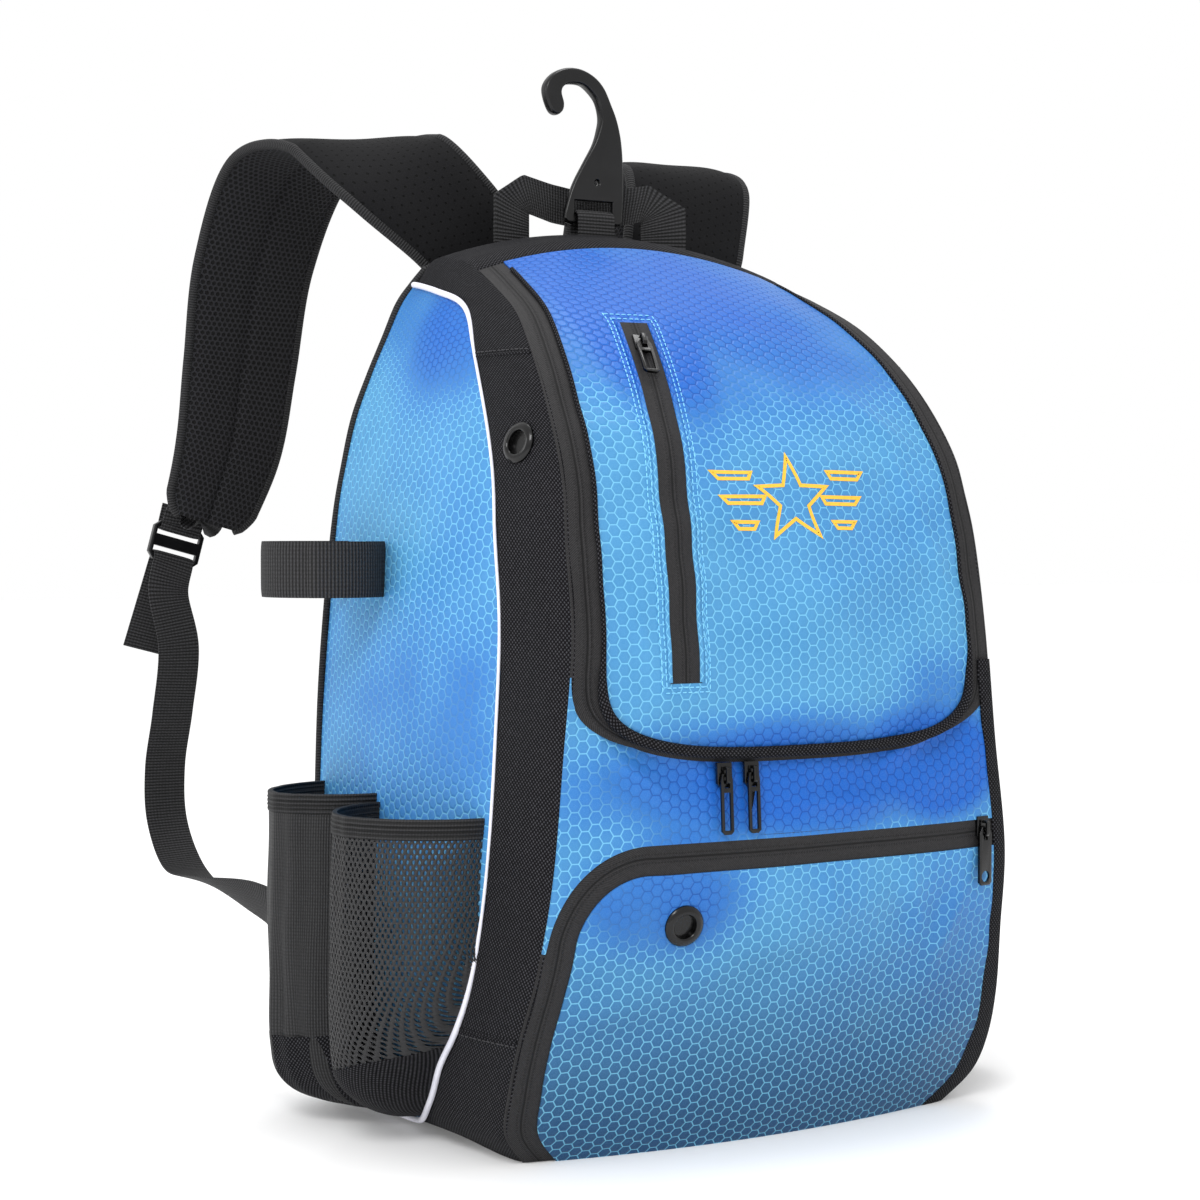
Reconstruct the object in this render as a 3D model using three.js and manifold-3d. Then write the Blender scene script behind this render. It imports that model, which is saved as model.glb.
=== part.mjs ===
// A baseball bat backpack: a hollow cloth body with a blue front flap, a shoe compartment,
// mesh side pockets, bat loops, padded shoulder straps, a haul handle and a fence hook.
// Millimetres, +Z up, -Y towards the front, origin at the centre of the base.

import * as THREE from "three";
import { mergeVertices } from "three/addons/utils/BufferGeometryUtils.js";
import Module from "manifold-3d";

const wasm = await Module();
wasm.setup();

// Body.
const bodyWidth = 306;
const bodyDepth = 225;
const bodyHeight = 457;
const cloth = 2;
const gap = 0.3;
const backPadding = 5;
const backBulge = 6;

// Front panels, zips and piping.
const mainZipWidth = 15;
const mainZipReveal = 4.5;
const flapTuck = 5;
const flapDrop = 195;
const flapCornerRise = 38;
const lowerRecess = 3.4;
const flapPipingDiameter = 5.5;
const sidePipingDiameter = 3.2;
const pipingLift = 0.75;
const tapeSink = 0.8;
const pocketZipWidth = 18;
const pocketZipTop = 403;
const pocketZipBottom = 229;
const pocketZipOffset = 66;
const pocketZipLean = 17;
const shoeZipWidth = 16;
const shoeZipHeight = 156;
const shoeZipCorner = 50;
const lowerSeamHeight = 64;
const upperSeamHeight = 386;

// Eyelets.
const eyeletHole = 12;
const eyeletDiameter = 20;
const eyeletFlange = 1.5;
const gussetVentHeight = 342;
const gussetVentSetback = 25;
const shoeVentHeight = 115;
const shoeVentOffset = 66;

// Side pockets.
const hemHeight = 10;
const bottleHemHeight = 165;
const sleeveHemHeight = 169;
const pocketFoot = 5;
const bottleFront = -76;
const bottleBack = 15.5;
const bottleSwell = 43;
const sleeveFront = 17.5;
const sleeveBack = 88;
const sleeveSwell = 41;

// Bat loops.
const loopHeight = 281;
const loopWidth = 28;
const loopRadius = 29;
const loopThickness = 2;
const loopReach = 24;
const loopSetback = 47;

// Shoulder straps.
const padWidth = 80;
const padThickness = 11;
const padRise = 58;
const padReach = 178;
const padSpread = 72;
const padEndHeight = 305;
const webbing = 25;
const webbingThickness = 1.5;
const lockWidth = 32;
const lockLength = 24;
const lockThickness = 3.6;
const lockBar = 3.5;
const tailLength = 55;
const tabThickness = 3;
const tabReach = 52;
const strapDrop = 155;
const tabHeight = 78;

// Haul handle and fence hook.
const handleSpan = 121;
const handleRise = 36;
const handleThickness = 2.2;
const handleBow = 10;
const topSeat = 0.2844 * bodyDepth;
const hookWidth = 36.5;
const hookHeight = 83;
const hookThickness = 4;
const hookBar = 4.7;
const hookSlot = 7.5;
const hookShaft = 8.4;
const hookStandoff = 6.4;
const hookPilot = 3;

// Zip sliders and pulls.
const sliderWidth = 8;
const sliderLength = 12;
const sliderBase = 2.2;
const archWidth = 2.2;
const archLength = 8;
const archHeight = 3.8;
const archWall = 1.4;
const pullThickness = 1.4;
const pocketPullLength = 24;
const mainPullLength = 28;
const shoePullLength = 29;
const pocketPullWidth = 8;
const mainPullWidth = 6.4;
const shoePullWidth = 9;

// Mesh counts: along the rail, across the panels and from front to back.
const railSteps = 16;
const panelSteps = 6;
const ribSteps = 4;
const backSteps = 12;

const blueCloth = new THREE.MeshStandardMaterial({ color: 0x4f96db, roughness: 0.6, metalness: 0 });
const blackCloth = new THREE.MeshStandardMaterial({ color: 0x1d1d22, roughness: 0.85, metalness: 0 });
const blackWebbing = new THREE.MeshStandardMaterial({ color: 0x18181a, roughness: 0.8, metalness: 0 });
const blackMesh = new THREE.MeshStandardMaterial({ color: 0x141416, roughness: 0.9, metalness: 0 });
const blackPlastic = new THREE.MeshStandardMaterial({ color: 0x101012, roughness: 0.35, metalness: 0 });
const blackMetal = new THREE.MeshStandardMaterial({ color: 0x121214, roughness: 0.25, metalness: 0.8 });
const whitePiping = new THREE.MeshStandardMaterial({ color: 0xe8e8ec, roughness: 0.7, metalness: 0 });

const halfWidth = bodyWidth / 2;
const backPlane = 0.422 * bodyDepth;
const vector = (x, y, z) => new THREE.Vector3(x, y, z);
const mix = (from, to, share) => from + (to - from) * share;
const clamp = (value, low, high) => Math.min(Math.max(value, low), high);

// The body's rails from the base corner up to the top corner, right side.
// Front seam: half width, distance from the back plane, height.
// Back seam: half width, height. Then the side's outward bulge, the front's forward dome
// and the crown across the top. Shares of the half width, depth and height.
const railTable = [
  [0.824, 0.778, 0.0, 0.85, 0.0, 0.0, 0.067, 0.0],
  [0.915, 0.813, 0.035, 0.967, 0.026, 0.026, 0.067, 0.0],
  [0.935, 0.853, 0.079, 0.993, 0.088, 0.052, 0.062, 0.0],
  [0.928, 0.889, 0.136, 1.0, 0.153, 0.065, 0.058, 0.0],
  [0.895, 0.929, 0.21, 1.0, 0.241, 0.078, 0.056, 0.0],
  [0.869, 0.964, 0.306, 0.993, 0.35, 0.085, 0.053, 0.0],
  [0.83, 0.96, 0.427, 0.98, 0.47, 0.085, 0.047, 0.0],
  [0.797, 0.956, 0.547, 0.954, 0.58, 0.085, 0.044, 0.0],
  [0.791, 0.924, 0.643, 0.922, 0.674, 0.078, 0.044, 0.0],
  [0.778, 0.898, 0.698, 0.889, 0.733, 0.072, 0.044, 0.0],
  [0.771, 0.862, 0.744, 0.85, 0.788, 0.065, 0.044, 0.0],
  [0.752, 0.787, 0.799, 0.791, 0.838, 0.059, 0.049, 0.0],
  [0.725, 0.698, 0.847, 0.732, 0.882, 0.052, 0.053, 0.0],
  [0.686, 0.582, 0.893, 0.68, 0.921, 0.039, 0.053, 0.004],
  [0.654, 0.44, 0.928, 0.627, 0.945, 0.039, 0.031, 0.018],
  [0.621, 0.324, 0.95, 0.575, 0.965, 0.046, -0.009, 0.035],
];

// The side piping's course on the right side: share of the way up the rail, share of the
// way from the front seam to the back.
const pipingTable = [
  [0.055, 1.0],
  [0.04, 0.78],
  [0.043, 0.53],
  [0.06, 0.41],
  [0.1, 0.32],
  [0.153, 0.27],
  [0.2, 0.22],
  [0.253, 0.2],
  [0.373, 0.2],
  [0.46, 0.214],
  [0.533, 0.226],
  [0.653, 0.25],
  [0.773, 0.3],
  [0.86, 0.35],
  [0.893, 0.58],
  [0.933, 1.0],
];

// One row of a table at a share of the way through it, along a smooth curve.
function smoothRow(table, share) {
  const at = clamp(share, 0, 1) * (table.length - 1);
  const i = Math.min(Math.floor(at), table.length - 2);
  const f = at - i;
  const before = table[Math.max(i - 1, 0)];
  const after = table[Math.min(i + 2, table.length - 1)];
  return table[i].map((p1, column) => {
    const p0 = before[column];
    const p2 = table[i + 1][column];
    const p3 = after[column];
    const square = (2 * p0 - 5 * p1 + 4 * p2 - p3) * f * f;
    const cube = (3 * p1 - p0 - 3 * p2 + p3) * f * f * f;
    return 0.5 * (2 * p1 + (p2 - p0) * f + square + cube);
  });
}

// The body's front surface: t up the rail from 0 to 1, u across from -1 to 1.
function frontPoint(t, u) {
  const [width, depth, height, , , , dome, crown] = smoothRow(railTable, t);
  const round = 1 - u * u;
  return vector(
    u * width * halfWidth,
    backPlane - (depth + dome * round) * bodyDepth,
    (height + crown * round) * bodyHeight,
  );
}

// The back surface's rim plane, by the same shares.
function backPoint(t, u) {
  const [, , , width, height, , , crown] = smoothRow(railTable, t);
  return vector(u * width * halfWidth, backPlane, (height + crown * (1 - u * u)) * bodyHeight);
}

// The rail's share and the side of a place c round the seam: 0 to 1 along the base,
// 1 to 2 up the right side, 2 to 3 along the top and 3 to 4 down the left side.
function seamPlace(c) {
  const turn = ((c % 4) + 4) % 4;
  if (turn < 1) return [0, 2 * turn - 1];
  if (turn < 2) return [turn - 1, 1];
  if (turn < 3) return [1, 1 - 2 * (turn - 2)];
  return [4 - turn, -1];
}

// The side band: c round the seam, v from the front seam at 0 to the back seam at 1.
function bandPoint(c, v) {
  const [t, u] = seamPlace(c);
  const front = frontPoint(t, u);
  const back = backPoint(t, u);
  const step = 0.03;
  const ahead = frontPoint(...seamPlace(c + step)).lerp(backPoint(...seamPlace(c + step)), 0.5);
  const behind = frontPoint(...seamPlace(c - step)).lerp(backPoint(...seamPlace(c - step)), 0.5);
  const rib = back.clone().sub(front).normalize();
  const out = rib.cross(ahead.sub(behind)).normalize();
  const bulge = smoothRow(railTable, t)[5] * halfWidth;
  return front.lerp(back, v).addScaledVector(out, bulge * 4 * v * (1 - v));
}

// The unit normal of a surface function at (a, b), from small steps each way.
function normalOf(surface, a, b, turn = 1) {
  const step = 0.004;
  const alongA = surface(a + step, b).sub(surface(a - step, b));
  const alongB = surface(a, b + step).sub(surface(a, b - step));
  return alongA.cross(alongB).multiplyScalar(turn).normalize();
}

const frontNormal = (t, u) => normalOf((a, b) => frontPoint(clamp(a, 0, 1), b), t, u, -1);
const bandNormal = (c, v) => normalOf(bandPoint, c, clamp(v, 0.01, 0.99), -1);

// Solids from geometries and back.
function solidOf(geometry) {
  const plain = new THREE.BufferGeometry();
  const source = geometry.index ? geometry.toNonIndexed() : geometry;
  plain.setAttribute("position", source.getAttribute("position").clone());
  const merged = mergeVertices(plain, 1e-4);
  const made = new wasm.Manifold(
    new wasm.Mesh({
      numProp: 3,
      vertProperties: merged.attributes.position.array,
      triVerts: new Uint32Array(merged.index.array),
    }),
  );
  return made;
}

function geometryOf(solid) {
  const mesh = solid.getMesh();
  const geometry = new THREE.BufferGeometry();
  geometry.setAttribute("position", new THREE.BufferAttribute(mesh.vertProperties, 3));
  geometry.setIndex(new THREE.BufferAttribute(mesh.triVerts, 1));
  return geometry;
}

// The largest of the bodies that a cut leaves.
function mainBody(solid) {
  const bodies = solid.decompose();
  return bodies.reduce((best, body) => (body.volume() > best.volume() ? body : best));
}

// A solid from a list of points and of faces, turned inside out where it needs to be.
function solidFromFaces(points, faces) {
  const flat = points.flatMap((p) => [p.x, p.y, p.z]);
  const volume = faces.reduce((sum, [a, b, c]) => {
    return sum + points[a].dot(points[b].clone().cross(points[c]));
  }, 0);
  const turned = volume < 0 ? faces.map(([a, b, c]) => [a, c, b]) : faces;
  const geometry = new THREE.BufferGeometry();
  geometry.setAttribute("position", new THREE.BufferAttribute(new Float32Array(flat), 3));
  geometry.setIndex(turned.flat());
  return solidOf(geometry);
}

// A plate between two grids of points with the same rows and columns. With ring set,
// the last row joins the first.
function plate(outer, inner, ring = false) {
  const rows = outer.length;
  const columns = outer[0].length;
  const points = [...outer.flat(), ...inner.flat()];
  const outerAt = (i, j) => (i % rows) * columns + j;
  const innerAt = (i, j) => rows * columns + outerAt(i, j);
  const faces = [];
  const quad = (a, b, c, d) => faces.push([a, b, c], [a, c, d]);
  const rowSteps = ring ? rows : rows - 1;
  for (let i = 0; i < rowSteps; i += 1) {
    for (let j = 0; j < columns - 1; j += 1) {
      quad(outerAt(i, j), outerAt(i + 1, j), outerAt(i + 1, j + 1), outerAt(i, j + 1));
      quad(innerAt(i, j), innerAt(i, j + 1), innerAt(i + 1, j + 1), innerAt(i + 1, j));
    }
    const last = columns - 1;
    quad(outerAt(i, 0), innerAt(i, 0), innerAt(i + 1, 0), outerAt(i + 1, 0));
    quad(outerAt(i, last), outerAt(i + 1, last), innerAt(i + 1, last), innerAt(i, last));
  }
  if (!ring) {
    const last = rows - 1;
    for (let j = 0; j < columns - 1; j += 1) {
      quad(outerAt(0, j), outerAt(0, j + 1), innerAt(0, j + 1), innerAt(0, j));
      quad(outerAt(last, j), innerAt(last, j), innerAt(last, j + 1), outerAt(last, j + 1));
    }
  }
  return solidFromFaces(points, faces);
}

// A tube or bar with the given sections, one closed ring of points per step, capped.
function sweep(sections) {
  const sides = sections[0].length;
  const points = sections.flat();
  const faces = [];
  for (let i = 0; i < sections.length - 1; i += 1) {
    for (let j = 0; j < sides; j += 1) {
      const a = i * sides + j;
      const b = i * sides + ((j + 1) % sides);
      faces.push([a, b, b + sides], [a, b + sides, a + sides]);
    }
  }
  const end = (sections.length - 1) * sides;
  for (let j = 1; j < sides - 1; j += 1) {
    faces.push([0, j + 1, j], [end, end + j, end + j + 1]);
  }
  return solidFromFaces(points, faces);
}

// A round tube along a curve through points.
function tube(points, radii, steps, sides = 8) {
  const curve = new THREE.CatmullRomCurve3(points, false, "centripetal");
  const frames = curve.computeFrenetFrames(steps, false);
  const sections = [];
  for (let i = 0; i <= steps; i += 1) {
    const share = i / steps;
    const centre = curve.getPointAt(share);
    const radius = typeof radii === "number" ? radii : smoothRow(radii, share)[0];
    const ring = [];
    for (let j = 0; j < sides; j += 1) {
      const angle = (2 * Math.PI * (j + 0.5)) / sides;
      ring.push(
        centre
          .clone()
          .addScaledVector(frames.normals[i], radius * Math.cos(angle))
          .addScaledVector(frames.binormals[i], radius * Math.sin(angle)),
      );
    }
    sections.push(ring);
  }
  return sweep(sections);
}

// A low bead that lies on a surface: places along it, the outward direction at each.
function bead(places, width, height, lift) {
  const half = width / 2;
  return sweep(
    places.map(({ at, out }, i) => {
      const before = places[Math.max(i - 1, 0)].at;
      const after = places[Math.min(i + 1, places.length - 1)].at;
      const side = after.clone().sub(before).cross(out).normalize();
      return [
        [-half, lift],
        [half, lift],
        [0.55 * half, lift + height],
        [-0.55 * half, lift + height],
      ].map(([a, b]) => at.clone().addScaledVector(side, a).addScaledVector(out, b));
    }),
  );
}

// A strip of webbing or padding along a curve: each way point holds a place, the
// direction of the width there and the width.
function strip(wayPoints, thickness, steps, bevel = 0) {
  const curve = new THREE.CatmullRomCurve3(
    wayPoints.map((way) => way.at),
    false,
    "centripetal",
  );
  const sections = [];
  for (let i = 0; i <= steps; i += 1) {
    const share = i / steps;
    const centre = curve.getPoint(share);
    const tangent = curve.getTangent(share);
    const [wx, wy, wz, width] = smoothRow(
      wayPoints.map((way) => [...way.across, way.width]),
      share,
    );
    const across = vector(wx, wy, wz);
    across.addScaledVector(tangent, -across.dot(tangent)).normalize();
    const normal = tangent.clone().cross(across).normalize();
    const w = width / 2;
    const h = thickness / 2;
    const corners = bevel
      ? [[-w, 0], [bevel - w, -h], [w - bevel, -h], [w, 0], [w - bevel, h], [bevel - w, h]]
      : [[-w, -h], [w, -h], [w, h], [-w, h]];
    sections.push(
      corners.map(([a, b]) => centre.clone().addScaledVector(across, a).addScaledVector(normal, b)),
    );
  }
  return sweep(sections);
}

// An outline of [a, b] pairs moved out by a distance.
function offsetOutline(outline, distance) {
  const count = outline.length;
  const area = outline.reduce((sum, [x, y], i) => {
    const [nextX, nextY] = outline[(i + 1) % count];
    return sum + x * nextY - nextX * y;
  }, 0);
  const turn = Math.sign(area) * distance;
  return outline.map(([x, y], i) => {
    const [beforeX, beforeY] = outline[(i + count - 1) % count];
    const [afterX, afterY] = outline[(i + 1) % count];
    const first = new THREE.Vector2(x - beforeX, y - beforeY).normalize();
    const second = new THREE.Vector2(afterX - x, afterY - y).normalize();
    const normalX = first.y + second.y;
    const normalY = -(first.x + second.x);
    const scale = (2 * turn) / Math.max(normalX * normalX + normalY * normalY, 0.5);
    return [x + normalX * scale, y + normalY * scale];
  });
}

// The points of an outline, wound clockwise or the other way.
function wound(outline, clockwise) {
  const points = outline.map(([a, b]) => new THREE.Vector2(a, b));
  return THREE.ShapeUtils.isClockWise(points) === clockwise ? points : points.reverse();
}

// A prism of an outline, with holes, along an axis: "y" reads the outline as X and Z,
// "x" reads it as Y and Z, and "z" as X and Y.
function prism(outline, axis, from, to, holes = []) {
  const shape = new THREE.Shape(wound(outline, false));
  for (const hole of holes) {
    shape.holes.push(new THREE.Path(wound(hole, true)));
  }
  const geometry = new THREE.ExtrudeGeometry(shape, {
    depth: to - from,
    bevelEnabled: false,
    steps: 1,
  });
  geometry.translate(0, 0, from);
  const place = new THREE.Matrix4();
  if (axis === "x") place.makeBasis(vector(0, 1, 0), vector(0, 0, 1), vector(1, 0, 0));
  if (axis === "y") {
    geometry.scale(1, 1, -1);
    place.makeBasis(vector(1, 0, 0), vector(0, 0, 1), vector(0, -1, 0));
  }
  geometry.applyMatrix4(place);
  const flat = geometry.getAttribute("position");
  const points = [];
  const faces = [];
  for (let i = 0; i < flat.count; i += 1) {
    points.push(vector(flat.getX(i), flat.getY(i), flat.getZ(i)));
    if (i % 3 === 2) faces.push([i - 2, i - 1, i]);
  }
  return solidFromFaces(points, faces);
}

function box(from, to) {
  const geometry = new THREE.BoxGeometry(to[0] - from[0], to[1] - from[1], to[2] - from[2]);
  geometry.translate((from[0] + to[0]) / 2, (from[1] + to[1]) / 2, (from[2] + to[2]) / 2);
  return solidOf(geometry);
}

const circle = (x, y, radius, count) =>
  Array.from({ length: count }, (_, i) => {
    const angle = (2 * Math.PI * (i + 0.5)) / count;
    return [x + radius * Math.cos(angle), y + radius * Math.sin(angle)];
  });

const rectangle = (x0, y0, x1, y1) => [[x0, y0], [x1, y0], [x1, y1], [x0, y1]];

// A solid moved into the frame of a place: side, up and out directions at a point.
function placed(solid, frame) {
  const geometry = geometryOf(solid);
  const matrix = new THREE.Matrix4().makeBasis(frame.side, frame.up, frame.out);
  matrix.setPosition(frame.at);
  geometry.applyMatrix4(matrix);
  return solidOf(geometry);
}

// Shells of the body.
const far = 2 * (bodyWidth + bodyDepth + bodyHeight);
const steps = (count) => Array.from({ length: count + 1 }, (_, i) => i / count);
const railStations = steps(railSteps);
const panelStations = steps(panelSteps).map((share) => 2 * share - 1);
const seamStations = [0, 1, 2, 3].flatMap((side) => {
  const count = side % 2 ? railSteps : panelSteps;
  return Array.from({ length: count }, (_, i) => side + i / count);
});

// The front surface moved out along its normal, and its rim moved out sideways.
function frontGrid(out, spread = 0, sink = () => 0) {
  return railStations.map((t) =>
    panelStations.map((u) => {
      const point = frontPoint(t, u);
      point.addScaledVector(frontNormal(t, u), out - sink(point, t, u));
      const inside = frontPoint(clamp(t, 0.02, 0.98), clamp(u, -0.98, 0.98));
      const away = frontPoint(t, u).sub(inside);
      if (spread && away.length() > 0.01) point.addScaledVector(away.normalize(), spread);
      return point;
    }),
  );
}

function bandGrid(out) {
  return seamStations.map((c) =>
    steps(ribSteps).map((v) => bandPoint(c, v).addScaledVector(bandNormal(c, v), out)),
  );
}

const frontShell = plate(frontGrid(0), frontGrid(-cloth));
const frontShellWide = plate(frontGrid(gap, gap), frontGrid(-cloth - gap, gap));
const bandShell = plate(bandGrid(0), bandGrid(-cloth), true);
const bandShellWide = plate(bandGrid(gap), bandGrid(-cloth - gap), true);
const frontSeat = plate(frontGrid(gap, gap), frontGrid(-cloth - tapeSink - gap, gap));
const band = bandShell.subtract(frontSeat);

// The back panel: flat inside, padded outside.
function backGrid(out, bulge, stations = railStations) {
  return stations.map((t) =>
    panelStations.map((u) => {
      const point = backPoint(t, u);
      const round = Math.sqrt(Math.max(Math.sin(Math.PI * t), 0)) * (1 - u ** 4);
      point.y += out + bulge * round;
      return point;
    }),
  );
}
const backStations = steps(backSteps);
const backPanel = plate(
  backGrid(gap + backPadding, backBulge, backStations),
  backGrid(gap, 0, backStations),
);

// The whole body as one filled solid, a gap larger all round, to seat other pieces on.
function filledBody(out) {
  const front = frontGrid(out);
  const back = backGrid(out + gap + backPadding, backBulge);
  const ribs = bandGrid(out);
  const points = [];
  const faces = [];
  const keep = (point) => points.push(point) - 1;
  const frontIndex = front.map((row) => row.map(keep));
  const backIndex = back.map((row) => row.map(keep));
  const rimOf = (index) =>
    seamStations.map((c) => {
      const [t, u] = seamPlace(c);
      return index[Math.round(t * railSteps)][Math.round(((u + 1) / 2) * panelSteps)];
    });
  const rings = [
    rimOf(frontIndex),
    ...steps(ribSteps)
      .slice(1)
      .map((_, j) => ribs.map((row) => keep(row[j + 1]))),
    rimOf(backIndex),
  ];
  const quad = (a, b, c, d) => faces.push([a, b, c], [a, c, d]);
  for (let i = 0; i < railSteps; i += 1) {
    for (let j = 0; j < panelSteps; j += 1) {
      const [f, g] = [frontIndex, backIndex];
      quad(f[i][j], f[i][j + 1], f[i + 1][j + 1], f[i + 1][j]);
      quad(g[i][j], g[i + 1][j], g[i + 1][j + 1], g[i][j + 1]);
    }
  }
  for (let k = 0; k < rings.length - 1; k += 1) {
    const count = seamStations.length;
    for (let i = 0; i < count; i += 1) {
      const next = (i + 1) % count;
      quad(rings[k][i], rings[k + 1][i], rings[k + 1][next], rings[k][next]);
    }
  }
  return solidFromFaces(points, faces);
}
const bodyWide = filledBody(gap);

// Where a point of the front view, X and Z, lies on the front surface.
function frontAt(x, z) {
  let low = 0;
  let high = 1;
  let u = 0;
  for (let i = 0; i < 40; i += 1) {
    const t = (low + high) / 2;
    u = clamp(x / frontPoint(t, 1).x, -1, 1);
    if (frontPoint(t, u).z < z) low = t;
    else high = t;
  }
  return [(low + high) / 2, u];
}

// Where a point of the side view, Y and Z, lies on the right side of the band.
function sideAt(y, z) {
  let low = 0;
  let high = 1;
  let v = 0;
  for (let i = 0; i < 40; i += 1) {
    const t = (low + high) / 2;
    const front = frontPoint(t, 1);
    v = clamp((y - front.y) / (backPlane - front.y), 0, 1);
    if (bandPoint(1 + t, v).z < z) low = t;
    else high = t;
  }
  return [1 + (low + high) / 2, v];
}

// The flat facets of the front surface at (t, u), between the four grid points round it.
function facetPoint(t, u) {
  const row = clamp(Math.floor(t * railSteps), 0, railSteps - 1);
  const column = clamp(Math.floor(((u + 1) / 2) * panelSteps), 0, panelSteps - 1);
  const shareT = t * railSteps - row;
  const shareU = ((u + 1) / 2) * panelSteps - column;
  const at = (i, j) => frontPoint(railStations[i], panelStations[j]);
  const low = at(row, column).lerp(at(row, column + 1), shareU);
  const high = at(row + 1, column).lerp(at(row + 1, column + 1), shareU);
  return low.lerp(high, shareT);
}

// A frame on the front surface: side and up lie in the surface, out along its normal.
function frontFrame(x, z, lift = 0, tilt = 0) {
  const [t, u] = frontAt(x, z);
  const out = frontNormal(t, u);
  const up = vector(Math.sin(tilt), 0, Math.cos(tilt));
  up.addScaledVector(out, -up.dot(out)).normalize();
  return { at: facetPoint(t, u).addScaledVector(out, lift), side: up.clone().cross(out), up, out };
}

// Front view outlines of the flap, the zips and the shoe compartment.
const railHeight = (z) => frontAt(far, z)[0];
const flapTurnHeight = flapDrop + flapCornerRise;
const flapSide = (t) => {
  const edge = 1 - mainZipWidth / frontPoint(t, 1).x;
  return frontPoint(t, edge);
};
const flapHalfWidth = flapSide(railHeight(flapTurnHeight)).x;

// Height of the flap's lower edge: flat below, with rounded corners.
function flapEdge(x) {
  const share = clamp(Math.abs(x) / flapHalfWidth, 0, 1);
  return flapDrop + flapCornerRise * (1 - (1 - share ** 3.2) ** (1 / 3.2));
}

const flapEdgePoints = [-1, -0.985, -0.95, -0.88, -0.75, -0.5, 0, 0.5, 0.75, 0.88, 0.95, 0.985, 1].map(
  (share) => [share * flapHalfWidth, flapEdge(share * flapHalfWidth)],
);

function flapOutline() {
  const turn = railHeight(flapTurnHeight);
  const rise = steps(11)
    .slice(1)
    .map((share) => flapSide(mix(turn, 1, share)));
  const right = rise.map((point) => [point.x, point.z]);
  const [topX, topZ] = right[right.length - 1];
  const top = [[topX, topZ + far], [-topX, topZ + far]];
  const left = right.map(([x, z]) => [-x, z]).reverse();
  return [...flapEdgePoints, ...right, ...top, ...left];
}

const pocketZipCentre = (z) => {
  const share = clamp((z - pocketZipBottom) / (pocketZipTop - pocketZipBottom), 0, 1);
  return -pocketZipOffset + pocketZipLean * share ** 3;
};

function pocketZipOutline() {
  const heights = steps(6).map((share) => mix(pocketZipBottom, pocketZipTop, share));
  const right = heights.map((z) => [pocketZipCentre(z) + pocketZipWidth / 2, z]);
  const left = heights.map((z) => [pocketZipCentre(z) - pocketZipWidth / 2, z]);
  return [...right, ...left.reverse()];
}

// The shoe compartment's outline: a level top and one round corner on the left.
function shoeOutline(inset) {
  const radius = shoeZipCorner - inset;
  const railX = -frontPoint(railHeight(shoeZipHeight - shoeZipCorner), 1).x;
  const centreX = railX + shoeZipCorner;
  const centreZ = shoeZipHeight - shoeZipCorner;
  const corner = steps(7).map((share) => {
    const angle = Math.PI * (1 - share / 2);
    return [centreX + radius * Math.cos(angle), centreZ + radius * Math.sin(angle)];
  });
  const down = steps(7)
    .slice(0, -1)
    .map((share) => mix(0, railHeight(centreZ), share))
    .map((t) => [-frontPoint(t, 1).x + inset, frontPoint(t, 1).z]);
  const open = inset ? down : down.map(([x, z]) => [x - far, z]);
  const cornerOpen = inset ? corner : [[railX - far, centreZ], ...corner];
  const level = shoeZipHeight - inset;
  const low = [open[0][0], -far];
  return [low, ...open, ...cornerOpen, [far, level], [far, -far]];
}

// The lower front sinks behind the flap's edge and comes back to the seams.
function lowerSink(point, t, u) {
  const below = Math.max(flapEdge(point.x) - mainZipReveal - point.z, 0);
  return lowerRecess * Math.exp(-below / 24) * (1 - Math.abs(u) ** 16);
}
const lowerShell = plate(frontGrid(0, 0, lowerSink), frontGrid(-cloth, 0, lowerSink));
const zipSink = () => tapeSink;
const tapeShell = plate(frontGrid(0, 0, zipSink), frontGrid(-cloth, 0, zipSink));
const tapeShellWide = plate(
  frontGrid(gap, gap, zipSink),
  frontGrid(-cloth - gap, gap, zipSink),
);

const frontCut = (outline, grow) => prism(offsetOutline(outline, grow), "y", -far, far);
const halfGap = gap / 2;
const flapShape = flapOutline();
const pocketZipShape = pocketZipOutline();
const shoeShape = shoeOutline(0);
const shoeInnerShape = shoeOutline(shoeZipWidth);
const aboveTurn = box([-far, -far, flapTurnHeight], [far, far, far]);

const frontFlap = frontShell
  .intersect(frontCut(flapShape, -halfGap))
  .subtract(frontCut(pocketZipShape, halfGap));
const pocketZipTape = tapeShell.intersect(frontCut(pocketZipShape, -halfGap));
const mainZips = tapeShell.subtract(frontCut(flapShape, halfGap)).intersect(aboveTurn);
const rightHalf = box([gap, -far, -far], [far, far, far]);
const flapWide = frontShellWide.intersect(frontCut(flapShape, halfGap));
const belowTurn = box([-far, -far, -far], [far, far, flapTurnHeight - gap]);
const mainZipWide = tapeShellWide.intersect(aboveTurn);
const mainZipLower = lowerShell
  .intersect(frontCut(flapShape, mainZipReveal))
  .subtract(frontCut(flapShape, -flapTuck))
  .intersect(belowTurn)
  .subtract(flapWide);
const lowerFront = lowerShell
  .intersect(belowTurn)
  .subtract(frontCut(flapShape, mainZipReveal + gap))
  .subtract(frontCut(shoeShape, halfGap));
const shoeZipTape = tapeShell
  .intersect(frontCut(shoeShape, -halfGap))
  .subtract(frontCut(shoeInnerShape, halfGap));
const shoeVentFrame = frontFrame(-shoeVentOffset, shoeVentHeight);
const shoePocket = frontShell
  .intersect(frontCut(shoeInnerShape, -halfGap))
  .subtract(placed(prism(circle(0, 0, eyeletHole / 2 + 1.6, 12), "z", -9, 9), shoeVentFrame));

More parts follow.
